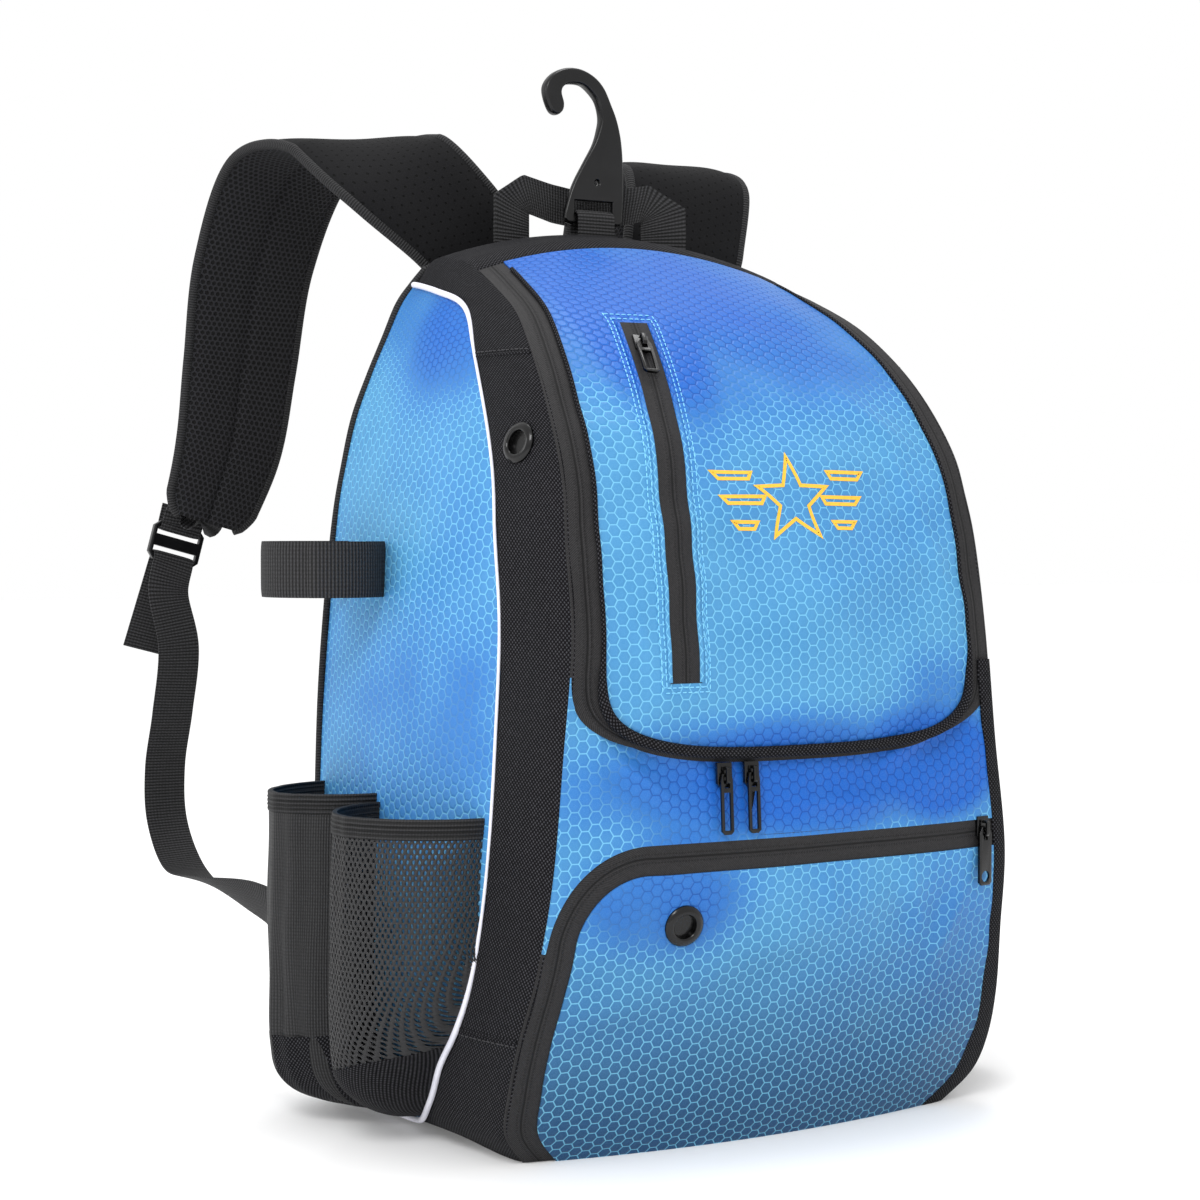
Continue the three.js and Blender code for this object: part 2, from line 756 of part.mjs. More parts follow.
// The piping on the flap's edge, from one seam to the other.
const flapPipingPlaces = steps(28).map((share) => {
  const angle = Math.PI * (share - 0.5);
  const x = Math.sign(angle) * flapHalfWidth * Math.min(Math.abs(Math.sin(angle)), 0.9995) ** 0.6;
  const [t, u] = frontAt(x, flapEdge(x));
  return { at: frontPoint(t, u), out: frontNormal(t, u) };
});
const flapPiping = bead(flapPipingPlaces, flapPipingDiameter, 0.75 * flapPipingDiameter, pipingLift);

// The band's pieces: the blue sides inside the piping, black gussets outside it.
const pipingPlaces = steps(30).map((share) => smoothRow(pipingTable, share));
const sideOutline = pipingPlaces.map(([rail, back]) => {
  const point = bandPoint(1 + rail, back);
  return [point.y, point.z];
});
sideOutline.push([backPlane + far, sideOutline[sideOutline.length - 1][1]]);
sideOutline.unshift([backPlane + far, sideOutline[0][1]]);
const sideCut = (grow) => prism(offsetOutline(sideOutline, grow), "x", -far, far);
const bandOutside = band.subtract(sideCut(halfGap));
const slab = (low, high) => box([-far, -far, low], [far, far, high]);
const gussetFrame = (() => {
  const [c] = sideAt(frontPoint(railHeight(gussetVentHeight), 1).y + gussetVentSetback, gussetVentHeight);
  const [, v] = sideAt(frontPoint(railHeight(gussetVentHeight), 1).y + gussetVentSetback, gussetVentHeight);
  const out = bandNormal(c, v);
  const up = vector(0, 0, 1).addScaledVector(out, -out.z).normalize();
  return { at: bandPoint(c, v), side: up.clone().cross(out), up, out };
})();
const topGusset = bandOutside.intersect(slab(upperSeamHeight + halfGap, far));
const baseGusset = bandOutside.intersect(slab(-far, lowerSeamHeight - halfGap));
const gusset = bandOutside
  .intersect(slab(lowerSeamHeight + halfGap, upperSeamHeight - halfGap))
  .intersect(rightHalf)
  .subtract(placed(prism(circle(0, 0, eyeletHole / 2 + 1.6, 12), "z", -9, 9), gussetFrame));
const sidePanel = band.intersect(sideCut(-halfGap)).intersect(rightHalf);
const sidePipingPlaces = pipingPlaces.slice(1, -1).map(([rail, back]) => ({
  at: bandPoint(1 + rail, back),
  out: bandNormal(1 + rail, back),
}));
const sideBead = (grow) =>
  bead(
    sidePipingPlaces,
    sidePipingDiameter + 2 * grow,
    0.7 * sidePipingDiameter + 2 * grow,
    pipingLift - grow,
  );
const sidePiping = sideBead(0);

// Eyelets: a flange on the cloth and a short tube through it.
function eyelet(frame) {
  const tubeRadius = eyeletHole / 2;
  const profile = [
    [tubeRadius, -cloth - 1],
    [tubeRadius + 1, -cloth - 1],
    [tubeRadius + 1, gap],
    [eyeletDiameter / 2, gap],
    [eyeletDiameter / 2, gap + 0.7],
    [tubeRadius + 1.4, gap + eyeletFlange],
    [tubeRadius, gap + eyeletFlange - 0.5],
    [tubeRadius, -cloth - 1],
  ].map(([radius, height]) => new THREE.Vector2(radius, height));
  const geometry = new THREE.LatheGeometry(profile, 12);
  geometry.rotateX(Math.PI / 2);
  return placed(uprightSolid(geometry), frame);
}

// A solid of a geometry whose faces may point in.
function uprightSolid(geometry) {
  const loose = geometry.index ? geometry.toNonIndexed() : geometry;
  const flat = loose.getAttribute("position");
  const points = [];
  const faces = [];
  for (let i = 0; i < flat.count; i += 1) {
    points.push(vector(flat.getX(i), flat.getY(i), flat.getZ(i)));
    if (i % 3 === 2) faces.push([i - 2, i - 1, i]);
  }
  const kept = faces.filter(([a, b, c]) => {
    const side = points[b].clone().sub(points[a]);
    return side.cross(points[c].clone().sub(points[a])).length() > 1e-6;
  });
  return solidFromFaces(points, kept);
}
const gussetVent = eyelet(gussetFrame);
const shoeVent = eyelet(shoeVentFrame);

// A side pocket: a mesh wall that swells out from the side panel and closes below.
function pocketGrid(pocket, low, high, inset, lift) {
  const { front, back, swell } = pocket;
  return steps(8).map((a) =>
    steps(pocket.rows(low)).map((b) => {
      const rise = mix(low, high, b);
      const z = mix(pocketFoot + inset, rise, clamp((rise - pocketFoot) / 12, 0, 1));
      const y = mix(front + inset, back - inset, 0.5 - 0.5 * Math.cos(Math.PI * a));
      const across = Math.sqrt(Math.sin(Math.PI * (0.5 - 0.5 * Math.cos(Math.PI * a))));
      const foot = clamp((rise - pocketFoot) / 30, 0, 1);
      const round = (1 - (1 - foot) ** 2.2) ** (1 / 2.2);
      const point = bandPoint(...sideAt(y, z));
      const out = (swell + lift - inset + cloth) * across * round - cloth;
      point.x += out;
      return point;
    }),
  );
}

function pocketWall(pocket, low, high, wall, lift = 0) {
  const outer = pocketGrid(pocket, low, high, 0, lift);
  const inner = pocketGrid(pocket, low, high, wall, lift);
  return mainBody(plate(outer, inner).subtract(bodyWide).subtract(pocket.clear));
}
const sidePipingWide = sideBead(gap);
const bottle = {
  front: bottleFront,
  back: bottleBack,
  swell: bottleSwell,
  clear: sidePipingWide,
  rows: (low) => (low > pocketFoot ? 1 : 5),
};
const sleeve = {
  front: sleeveFront,
  back: sleeveBack,
  swell: sleeveSwell,
  clear: sidePipingWide,
  rows: (low) => (low > pocketFoot ? 1 : 5),
};
const bottlePocket = pocketWall(bottle, pocketFoot, bottleHemHeight - hemHeight - gap, cloth);
const bottleHem = pocketWall(bottle, bottleHemHeight - hemHeight, bottleHemHeight, cloth + 0.6, 0.4);
const batSleeve = pocketWall(sleeve, pocketFoot, sleeveHemHeight - hemHeight - gap, cloth);
const sleeveHem = pocketWall(sleeve, sleeveHemHeight - hemHeight, sleeveHemHeight, cloth + 0.6, 0.4);

// The bat loop: a ring of webbing cut by the side panel that it is sewn to.
const loopSide = bandPoint(...sideAt(loopSetback, loopHeight));
const loopRing = prism(
  circle(loopSide.x + loopReach, loopSetback, loopRadius + loopThickness, 24),
  "z",
  loopHeight - loopWidth / 2,
  loopHeight + loopWidth / 2,
  [circle(loopSide.x + loopReach, loopSetback, loopRadius, 24)],
);
const batLoop = mainBody(loopRing.subtract(bodyWide));

// Shoulder pad, right side: up from the back panel's top, over a fold and down behind.
// Columns: share of the spread, share of the reach, share of the way from the end's
// height to the crest, then the width direction and the share of the width.
const padTop = 0.96 * bodyHeight;
const padCrest = bodyHeight + padRise;
const padBase = backPlane + gap + backPadding + padThickness / 2;
// The left pad leans in towards the middle at its root, and the right one stands upright.
const leftRoot = [
  [0.53, 0.012, 0.65, 0.72, 0, -0.69, 0.76],
  [0.9, 0.03, 0.79, 0.76, 0, -0.65, 0.82],
  [1.27, 0.12, 0.92, 0.88, 0, -0.47, 0.93],
  [1.4, 0.37, 1.0, 0.99, 0, -0.1, 1.0],
];
const rightRoot = [
  [1.08, 0.012, 0.62, 1, 0, 0, 0.98],
  [1.2, 0.02, 0.78, 1, 0, 0, 1.0],
  [1.33, 0.1, 0.95, 1, 0, 0, 1.02],
  [1.42, 0.37, 1.0, 1, 0, 0, 1.02],
];
const padTable = [
  [1.58, 0.66, 0.965, 1, 0, 0, 0.98],
  [1.69, 0.87, 0.72, 1, 0, 0, 0.93],
  [1.74, 0.95, 0.44, 0.99, 0, 0.05, 0.88],
  [1.83, 0.965, 0.21, 0.97, 0, 0.15, 0.82],
  [2.0, 1.0, 0.0, 0.93, 0, 0.3, 0.7],
];
const wayOfPad = (root) => [...root, ...padTable].map(([spread, reach, rise, wx, wy, wz, width]) => ({
  at: vector(
    spread * padSpread,
    mix(padBase, backPlane + padReach, reach),
    mix(padEndHeight, padCrest, rise),
  ),
  across: [wx, wy, wz],
  width: width * padWidth,
}));
const padWay = wayOfPad(rightRoot);
const padOnRight = mainBody(strip(padWay, padThickness, 20, 3.5).subtract(bodyWide));
const padOnLeft = mainBody(strip(wayOfPad(leftRoot), padThickness, 20, 3.5).subtract(bodyWide));
const padEnd = padWay[padWay.length - 1].at;

// The ladder lock behind the pad's end, with a bar above and below its two slots.
const lockCentre = padEnd.clone().add(vector(12, padThickness / 2 + 13, -13));
const lockSide = vector(0.966, 0, 0.259);
const lockOut = vector(0, -1, 0);
const lockUp = lockOut.clone().cross(lockSide).normalize();
const lockFrame = { at: lockCentre, side: lockSide, up: lockUp, out: lockOut };
const barPlace = lockLength / 2 - lockBar / 2;
const slotHalf = webbing / 2 + 1;
const lockSlot = (side) => {
  const low = side > 0 ? lockBar : lockBar - lockLength / 2;
  return rectangle(-slotHalf, low, slotHalf, low + lockLength / 2 - 2 * lockBar);
};
const ladderLock = placed(
  prism(
    [
      [-lockWidth / 2, -lockLength / 2 + 4],
      [-lockWidth / 2 + 4, -lockLength / 2],
      [lockWidth / 2 - 4, -lockLength / 2],
      [lockWidth / 2, -lockLength / 2 + 4],
      [lockWidth / 2, lockLength / 2 - 4],
      [lockWidth / 2 - 4, lockLength / 2],
      [-lockWidth / 2 + 4, lockLength / 2],
      [-lockWidth / 2, lockLength / 2 - 4],
    ],
    "z",
    -lockThickness / 2,
    lockThickness / 2,
    [lockSlot(1), lockSlot(-1)],
  ),
  lockFrame,
);

// A point beside a bar of the lock: distance up from the bar and out from the lock.
const besideBar = (bar, up, out) => ({
  at: lockCentre.clone().addScaledVector(lockUp, bar + up).addScaledVector(lockOut, out),
  across: lockSide.toArray(),
  width: webbing,
});
const wrap = Math.hypot(lockBar, lockThickness) / 2 + gap + webbingThickness / 2;

// Webbing sewn to the outer face of the pad, round the lock's upper bar.
const padFace = (share, lift) => {
  const [x, y, z, wx, wy, wz] = smoothRow(
    padWay.map((way) => [...way.at.toArray(), ...way.across]),
    share,
  );
  return {
    at: vector(x, y + padThickness / 2 + gap + webbingThickness / 2 + lift, z),
    across: [wx, wy, wz],
    width: webbing,
  };
};
const padWebbing = strip(
  [
    padFace(0.9, 0.6),
    padFace(0.96, 0.6),
    padFace(1, 1),
    besideBar(barPlace, wrap + 6, wrap + 3),
    besideBar(barPlace, 0.5, wrap),
    besideBar(barPlace, -0.75 * wrap, 0.7 * wrap),
    besideBar(barPlace, -wrap, 0),
    besideBar(barPlace, -0.75 * wrap, -0.7 * wrap),
    besideBar(barPlace, 0.5, -wrap),
    besideBar(barPlace, 12, -wrap - 0.6),
  ],
  webbingThickness,
  18,
).subtract(strip(padWay, padThickness + 2 * gap, 20, 3.5));

// The tab at the back's lower corner, and the adjuster webbing that runs to it.
const tabSide = backPoint(railHeight(tabHeight), 1).x - 7;
const tabBack = backPlane + gap + backPadding + gap;
const strapTab = prism(
  [
    [backPlane, tabHeight - 32],
    [tabBack + tabReach, tabHeight - 2],
    [tabBack + tabReach, tabHeight + webbing - 1],
    [backPlane, tabHeight + 28],
  ],
  "x",
  tabSide,
  tabSide + tabThickness,
).subtract(bodyWide);
const tabFace = tabSide + tabThickness + gap + webbingThickness / 2;
const strapTurn = lockCentre.z - strapDrop;
const tabEnd = tabBack + tabReach;
const strapWay = [
  besideBar(-barPlace, -tailLength, -wrap - 7),
  besideBar(-barPlace, -20, -wrap - 2.5),
  besideBar(-barPlace, -0.5, -wrap),
  besideBar(-barPlace, 0.75 * wrap, -0.7 * wrap),
  besideBar(-barPlace, wrap, 0),
  besideBar(-barPlace, 0.75 * wrap, 0.7 * wrap),
  besideBar(-barPlace, -0.5, wrap),
  besideBar(-barPlace, -18, wrap + 3.5),
  { at: lockCentre.clone().add(vector(3, -12, -0.39 * strapDrop)), across: [1, 0, 0.1], width: webbing },
  { at: lockCentre.clone().add(vector(4, -4, -0.645 * strapDrop)), across: [1, 0, 0], width: webbing },
  { at: vector(lockCentre.x + 5, lockCentre.y + 6, strapTurn + 22), across: [1, 0, 0], width: webbing },
  { at: vector(lockCentre.x + 5, lockCentre.y + 4, strapTurn - 8), across: [1, 0, 0], width: webbing },
  { at: vector(lockCentre.x + 4, lockCentre.y - 20, tabHeight + 25), across: [1, 0, 0], width: webbing },
  { at: vector(tabFace + 8, tabEnd + 73, tabHeight + 18), across: [0.8, 0, 0.5], width: webbing },
  { at: vector(tabFace + 2, tabEnd + 18, tabHeight + 15), across: [0.3, 0, 0.95], width: webbing },
  { at: vector(tabFace + 0.4, tabEnd - 2, tabHeight + 10), across: [0, 0.1, 1], width: webbing },
  { at: vector(tabFace + 0.2, tabEnd - 26, tabHeight + 4), across: [0, 0.15, 1], width: webbing },
];
const strapWebbing = strip(strapWay, webbingThickness, 2 * (strapWay.length - 1));

// The haul handle: flat webbing folded at both corners, behind the hook.
// Columns: outer X, outer height, inner X and inner height, as shares of half the span
// and of the rise, from the left foot to the middle.
const topEdge = frontPoint(1, 0).y;
const topAt = (x, y) => bandPoint(2.5 - x / (2 * frontPoint(1, 1).x), (y - topEdge) / (backPlane - topEdge));
const handleFoot = topAt(handleSpan / 2.5, topSeat).z;
const handleTable = [
  [-1.0, -0.3, -0.6, -0.3],
  [-1.0, 0.1, -0.6, 0.1],
  [-1.0, 0.66, -0.6, 0.42],
  [-0.66, 1.0, -0.56, 0.42],
  [-0.33, 0.9, -0.33, 0.33],
  [0, 0.83, 0, 0.27],
  [0.33, 0.9, 0.33, 0.33],
  [0.66, 1.0, 0.56, 0.42],
  [1.0, 0.66, 0.6, 0.42],
  [1.0, 0.1, 0.6, 0.1],
  [1.0, -0.3, 0.6, -0.3],
];
const handlePoint = (x, rise, back) =>
  vector(
    (x * handleSpan) / 2,
    topSeat + hookThickness / 2 + 1.5 + back + handleBow * (1 - Math.min(Math.abs(x), 1) ** 2),
    handleFoot + rise * handleRise,
  );
const handleGrid = (back) =>
  handleTable.map(([ox, oz, ix, iz]) => [handlePoint(ox, oz, back), handlePoint(ix, iz, back)]);
const haulHandle = mainBody(plate(handleGrid(0), handleGrid(handleThickness)).subtract(bodyWide));

// The fence hook: a flat plate with a webbing slot, a round shaft and a crook.
const hookSeat = topAt(0, topSeat).z;
const hookFoot = hookSeat + hookStandoff;
const hookCentre = -2.3;
const hookOutline = [
  [-0.5, 0.02],
  [-0.46, 0.0],
  [0.46, 0.0],
  [0.5, 0.02],
  [0.52, 0.25],
  [0.52, 0.4],
  [0.49, 0.55],
  [0.41, 0.68],
  [0.3, 0.76],
  [0.12, 0.72],
  [0.1, 0.66],
  [0.09, 0.6],
  [0.0, 0.52],
  [-0.16, 0.4],
  [-0.34, 0.26],
  [-0.45, 0.13],
].map(([x, z]) => [hookCentre + x * hookWidth, hookFoot + z * hookHeight]);
const slotSide = webbing / 2 - 0.6;
const hookSlotHole = rectangle(
  hookCentre - slotSide,
  hookFoot + hookBar,
  hookCentre + slotSide,
  hookFoot + hookBar + hookSlot,
);
const hookPlate = prism(
  hookOutline,
  "y",
  topSeat - hookThickness / 2,
  topSeat + hookThickness / 2,
  [hookSlotHole, circle(hookCentre + 2, hookFoot + 0.27 * hookHeight, hookPilot / 2, 8)],
);
const crookTable = [
  [0.29, 0.62],
  [0.27, 0.7],
  [0.19, 0.81],
  [0.04, 0.91],
  [-0.2, 0.95],
  [-0.46, 0.955],
  [-0.66, 0.89],
  [-0.74, 0.81],
  [-0.7, 0.745],
  [-0.63, 0.71],
];
const hookCrook = tube(
  crookTable.map(([x, z]) => vector(hookCentre + x * hookWidth, topSeat, hookFoot + z * hookHeight)),
  [[0.62], [0.6], [0.52], [0.5], [0.5], [0.49], [0.48], [0.47], [0.4]].map(([r]) => [r * hookShaft]),
  15,
  7,
);
const fenceHook = hookPlate.add(hookCrook);

// The webbing loop that holds the hook by its lower bar.
const hookPivot = hookFoot + hookBar / 2;
const loopTurn = Math.hypot(hookBar, hookThickness) / 2 + gap + webbingThickness / 2;
const loopProfile = (radius) => [
  [topSeat - radius, hookSeat - 12],
  ...steps(8).map((share) => {
    const angle = Math.PI * (1 - share);
    return [topSeat + radius * Math.cos(angle), hookPivot + radius * Math.sin(angle)];
  }),
  [topSeat + radius, hookSeat - 12],
];
const hookLoop = mainBody(
  prism(
    [
      ...loopProfile(loopTurn + webbingThickness / 2),
      ...loopProfile(loopTurn - webbingThickness / 2).reverse(),
    ],
    "x",
    hookCentre - slotSide + 0.5,
    hookCentre + slotSide - 0.5,
  )
    .add(
      box(
        [hookCentre - slotSide + 0.5, topSeat - loopTurn, hookSeat - 6],
        [hookCentre + slotSide - 0.5, topSeat + loopTurn, hookSeat + 1.4],
      ),
    )
    .subtract(bodyWide),
);

// Zip sliders and pulls, in a frame with the zip along Y and the cloth at Z = 0.
const archEnd = archLength / 2;
const slider = prism(
  [
    [-sliderWidth / 2, -sliderLength / 2 + 2],
    [-sliderWidth / 2 + 2, -sliderLength / 2],
    [sliderWidth / 2 - 2, -sliderLength / 2],
    [sliderWidth / 2, -sliderLength / 2 + 2],
    [sliderWidth / 2, sliderLength / 2],
    [-sliderWidth / 2, sliderLength / 2],
  ],
  "z",
  0,
  sliderBase,
).add(
  prism(
    [
      [-archEnd, sliderBase - 0.5],
      [archEnd, sliderBase - 0.5],
      [archEnd, sliderBase + archHeight - 1],
      [archEnd - 1, sliderBase + archHeight],
      [1 - archEnd, sliderBase + archHeight],
      [-archEnd, sliderBase + archHeight - 1],
    ],
    "x",
    -archWidth / 2,
    archWidth / 2,
    [
      rectangle(
        archWall - archEnd,
        sliderBase,
        archEnd - archWall,
        sliderBase + archHeight - archWall,
      ),
    ],
  ),
);
const pullAxis = sliderBase + (archHeight - archWall) / 2;
const eyeSide = archWidth / 2 + 0.45;
const pullBar = 1.6;

// A pull hangs along -Y from its bar under the arch; grip is the hole in its lower end.
function pull(width, length, grip) {
  const eye = rectangle(-eyeSide, -archEnd - 2, eyeSide, -pullBar / 2);
  return prism(
    [
      [-eyeSide - 1, pullBar / 2],
      [eyeSide + 1, pullBar / 2],
      [width / 2, -3],
      [width / 2, 1.5 - length],
      [width / 2 - 1.5, -length],
      [1.5 - width / 2, -length],
      [-width / 2, 1.5 - length],
      [-width / 2, -3],
    ],
    "z",
    pullAxis - pullThickness / 2,
    pullAxis + pullThickness / 2,
    [eye, grip],
  );
}
const slotGrip = (width, length) =>
  rectangle(1.5 - width / 2, 2 - length, width / 2 - 1.5, -archEnd - 4.2);
const pocketPull = pull(pocketPullWidth, pocketPullLength, slotGrip(pocketPullWidth, pocketPullLength));
const mainPull = pull(mainPullWidth, mainPullLength, slotGrip(mainPullWidth, mainPullLength));
const shoePull = pull(
  shoePullWidth,
  shoePullLength,
  circle(0, shoePullWidth / 2 - shoePullLength, shoePullWidth / 2 - 1.6, 10),
);

const tapeLift = gap - tapeSink + 0.9;
const pocketSliderHeight = pocketZipTop - 12;
const pocketSliderFrame = frontFrame(
  pocketZipCentre(pocketSliderHeight),
  pocketSliderHeight,
  tapeLift - 0.8,
  0.1,
);
const mainSliderHeight = flapDrop - flapPipingDiameter / 2 - sliderLength / 2 - gap - 0.6;
const mainSliderFrame = (x) => frontFrame(x, mainSliderHeight, gap - lowerRecess + 2, 0);
const shoeSliderX = frontPoint(railHeight(shoeZipHeight), 1).x - 16;
const shoeSliderFrame = frontFrame(shoeSliderX, shoeZipHeight - shoeZipWidth / 2, tapeLift, 0);

// The group of named pieces.
const backpack = new THREE.Group();

function addPiece(name, solid, material) {
  const mesh = new THREE.Mesh(geometryOf(mainBody(solid)), material);
  mesh.name = name;
  backpack.add(mesh);
}

function mirrored(solid) {
  const geometry = geometryOf(solid);
  geometry.scale(-1, 1, 1);
  return uprightSolid(geometry);
}

function addPair(name, solid, material) {
  const right = mainBody(solid);
  addPiece(name + "_right", right, material);
  addPiece(name + "_left", mirrored(right), material);
}

addPiece("front_flap", frontFlap, blueCloth);
addPiece("lower_front", lowerFront, blueCloth);
addPiece("shoe_pocket", shoePocket, blueCloth);
addPiece("flap_piping", flapPiping, blackCloth);
addPiece("pocket_zip_tape", pocketZipTape, blackCloth);
addPiece("shoe_zip_tape", shoeZipTape, blackCloth);
addPair("main_zip", mainZips.intersect(rightHalf), blackCloth);
addPiece("main_zip_lower", mainZipLower, blackCloth);
addPiece("top_gusset", topGusset, blackCloth);
addPiece("base_gusset", baseGusset, blackCloth);
addPair("gusset", gusset, blackCloth);
addPair("side_panel", sidePanel, blueCloth);
addPair("side_piping", sidePiping, whitePiping);
addPiece("back_panel", backPanel, blackMesh);
addPair("gusset_vent", gussetVent, blackMetal);
addPiece("shoe_vent", shoeVent, blackMetal);
addPair("bottle_pocket", bottlePocket, blackMesh);
addPair("bottle_hem", bottleHem, blackWebbing);
addPair("bat_sleeve", batSleeve, blackMesh);
addPair("sleeve_hem", sleeveHem, blackWebbing);
addPair("bat_loop", batLoop, blackWebbing);
addPiece("shoulder_pad_right", padOnRight, blackMesh);
addPiece("shoulder_pad_left", mirrored(padOnLeft), blackMesh);
addPair("pad_webbing", padWebbing, blackWebbing);
addPair("ladder_lock", ladderLock, blackPlastic);
addPair("strap_webbing", strapWebbing, blackWebbing);
addPair("strap_tab", strapTab, blackCloth);
addPiece("haul_handle", haulHandle, blackWebbing);
addPiece("fence_hook", fenceHook, blackPlastic);
addPiece("hook_loop", hookLoop, blackWebbing);
addPiece("pocket_slider", placed(slider, pocketSliderFrame), blackMetal);
addPiece("pocket_pull", placed(pocketPull, pocketSliderFrame), blackMetal);
addPiece("main_slider_left", placed(slider, mainSliderFrame(-46)), blackMetal);
addPiece("main_pull_left", placed(mainPull, mainSliderFrame(-46)), blackMetal);
addPiece("main_slider_right", placed(slider, mainSliderFrame(-31)), blackMetal);
addPiece("main_pull_right", placed(mainPull, mainSliderFrame(-31)), blackMetal);
addPiece("shoe_slider", placed(slider, shoeSliderFrame), blackMetal);
addPiece("shoe_pull", placed(shoePull, shoeSliderFrame), blackMetal);

export default backpack;
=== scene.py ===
import math

import bmesh
import bpy
import numpy as np
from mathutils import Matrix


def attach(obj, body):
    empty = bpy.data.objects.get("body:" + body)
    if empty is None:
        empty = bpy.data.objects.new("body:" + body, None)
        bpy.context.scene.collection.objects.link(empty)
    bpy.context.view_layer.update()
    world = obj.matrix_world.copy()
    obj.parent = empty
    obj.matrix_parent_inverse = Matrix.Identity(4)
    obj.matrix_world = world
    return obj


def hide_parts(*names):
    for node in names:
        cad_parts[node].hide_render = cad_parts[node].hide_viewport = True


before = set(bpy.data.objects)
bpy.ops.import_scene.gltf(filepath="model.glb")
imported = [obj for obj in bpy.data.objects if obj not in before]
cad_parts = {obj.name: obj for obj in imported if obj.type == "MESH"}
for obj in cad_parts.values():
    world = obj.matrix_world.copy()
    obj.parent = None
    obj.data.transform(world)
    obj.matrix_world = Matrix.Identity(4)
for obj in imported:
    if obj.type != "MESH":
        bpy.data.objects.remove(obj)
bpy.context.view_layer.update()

# A bat backpack, dressed: honeycomb cloth panels, twill gussets, zips, mesh pockets, pads
# and webbing. Lengths are millimetres until a mesh is made. The body has the frame's own
# shape: rails up both sides carry the front, the side band and the back.

# The bag's sizes, as in the frame.
BODY_WIDTH = 306
BODY_DEPTH = 225
BODY_HEIGHT = 457
HALF_WIDTH = BODY_WIDTH / 2
BACK_PLANE = 0.422 * BODY_DEPTH
BACK_PADDING = 5
BACK_BULGE = 6
GAP = 0.3
CLOTH = 1.6
MAIN_ZIP_WIDTH = 15
FLAP_DROP = 195
FLAP_CORNER_RISE = 38
FLAP_TURN = FLAP_DROP + FLAP_CORNER_RISE
LOWER_RECESS = 3.4
ZIP_REVEAL = 4.5
TAPE_SINK = 0.8
POCKET_ZIP_WIDTH = 18
POCKET_ZIP_TOP = 403
POCKET_ZIP_BOTTOM = 229
POCKET_ZIP_OFFSET = 66
POCKET_ZIP_LEAN = 17
SHOE_ZIP_WIDTH = 16
SHOE_ZIP_HEIGHT = 156
SHOE_ZIP_CORNER = 50
LOWER_SEAM = 64
UPPER_SEAM = 386
EYELET_RADIUS = 10
EYELET_HOLE = 6
GUSSET_VENT_HEIGHT = 342
GUSSET_VENT_SETBACK = 25
SHOE_VENT_HEIGHT = 115
SHOE_VENT_OFFSET = 66
HEM_HEIGHT = 10
POCKET_FOOT = 5
BOTTLE = dict(front=-74, back=15.5, swell=43, hem=165, belly=-3)
SLEEVE = dict(front=17.5, back=88, swell=41, hem=169, belly=9)
LOOP_HEIGHT = 281
LOOP_WIDTH = 28
LOOP_RADIUS = 30
LOOP_REACH = 24
LOOP_SETBACK = 47
PAD_WIDTH = 80
PAD_THICKNESS = 11
PAD_RISE = 58
PAD_REACH = 178
PAD_SPREAD = 72
PAD_END_HEIGHT = 305
WEBBING = 25
WEBBING_THICKNESS = 1.5
LOCK_LENGTH = 24
LOCK_BAR = 3.5
LOCK_THICKNESS = 3.6
TAIL_LENGTH = 55
STRAP_DROP = 155
TAB_HEIGHT = 78
TAB_REACH = 52
TAB_THICKNESS = 3
HANDLE_SPAN = 121
HANDLE_RISE = 36
HANDLE_THICKNESS = 2.2
HANDLE_BOW = 10
TOP_SEAT = 0.2844 * BODY_DEPTH
HOOK_CENTRE = -2.3
HOOK_WIDTH = 36.5
HOOK_HEIGHT = 83
HOOK_BAR = 4.7
HOOK_SLOT = 7.5
HOOK_STANDOFF = 6.4
HOOK_THICKNESS = 4

# Rails from the base corner up to the top corner. Front seam: half width, distance from the
# back plane, height. Back seam: half width, height. Then bulge, dome and crown.
RAILS = np.array([
    [0.824, 0.778, 0.0, 0.85, 0.0, 0.0, 0.067, 0.0],
    [0.915, 0.813, 0.035, 0.967, 0.026, 0.026, 0.067, 0.0],
    [0.935, 0.853, 0.079, 0.993, 0.088, 0.052, 0.062, 0.0],
    [0.928, 0.889, 0.136, 1.0, 0.153, 0.065, 0.058, 0.0],
    [0.895, 0.929, 0.21, 1.0, 0.241, 0.078, 0.056, 0.0],
    [0.869, 0.964, 0.306, 0.993, 0.35, 0.085, 0.053, 0.0],
    [0.83, 0.96, 0.427, 0.98, 0.47, 0.085, 0.047, 0.0],
    [0.797, 0.956, 0.547, 0.954, 0.58, 0.085, 0.044, 0.0],
    [0.791, 0.924, 0.643, 0.922, 0.674, 0.078, 0.044, 0.0],
    [0.778, 0.898, 0.698, 0.889, 0.733, 0.072, 0.044, 0.0],
    [0.771, 0.862, 0.744, 0.85, 0.788, 0.065, 0.044, 0.0],
    [0.752, 0.787, 0.799, 0.791, 0.838, 0.059, 0.049, 0.0],
    [0.725, 0.698, 0.847, 0.732, 0.882, 0.052, 0.053, 0.0],
    [0.686, 0.582, 0.893, 0.68, 0.921, 0.039, 0.053, 0.004],
    [0.654, 0.44, 0.928, 0.627, 0.945, 0.039, 0.031, 0.018],
    [0.621, 0.324, 0.95, 0.575, 0.965, 0.046, -0.009, 0.035],
])

# The side piping's course: share of the way up the rail, share of the way to the back seam.
PIPING = np.array([
    [0.055, 1.0],
    [0.04, 0.78],
    [0.043, 0.53],
    [0.06, 0.41],
    [0.1, 0.32],
    [0.153, 0.27],
    [0.2, 0.22],
    [0.253, 0.2],
    [0.373, 0.2],
    [0.46, 0.214],
    [0.533, 0.226],
    [0.653, 0.25],
    [0.773, 0.3],
    [0.86, 0.35],
    [0.893, 0.58],
    [0.933, 1.0],
])


# Surfaces of the body.

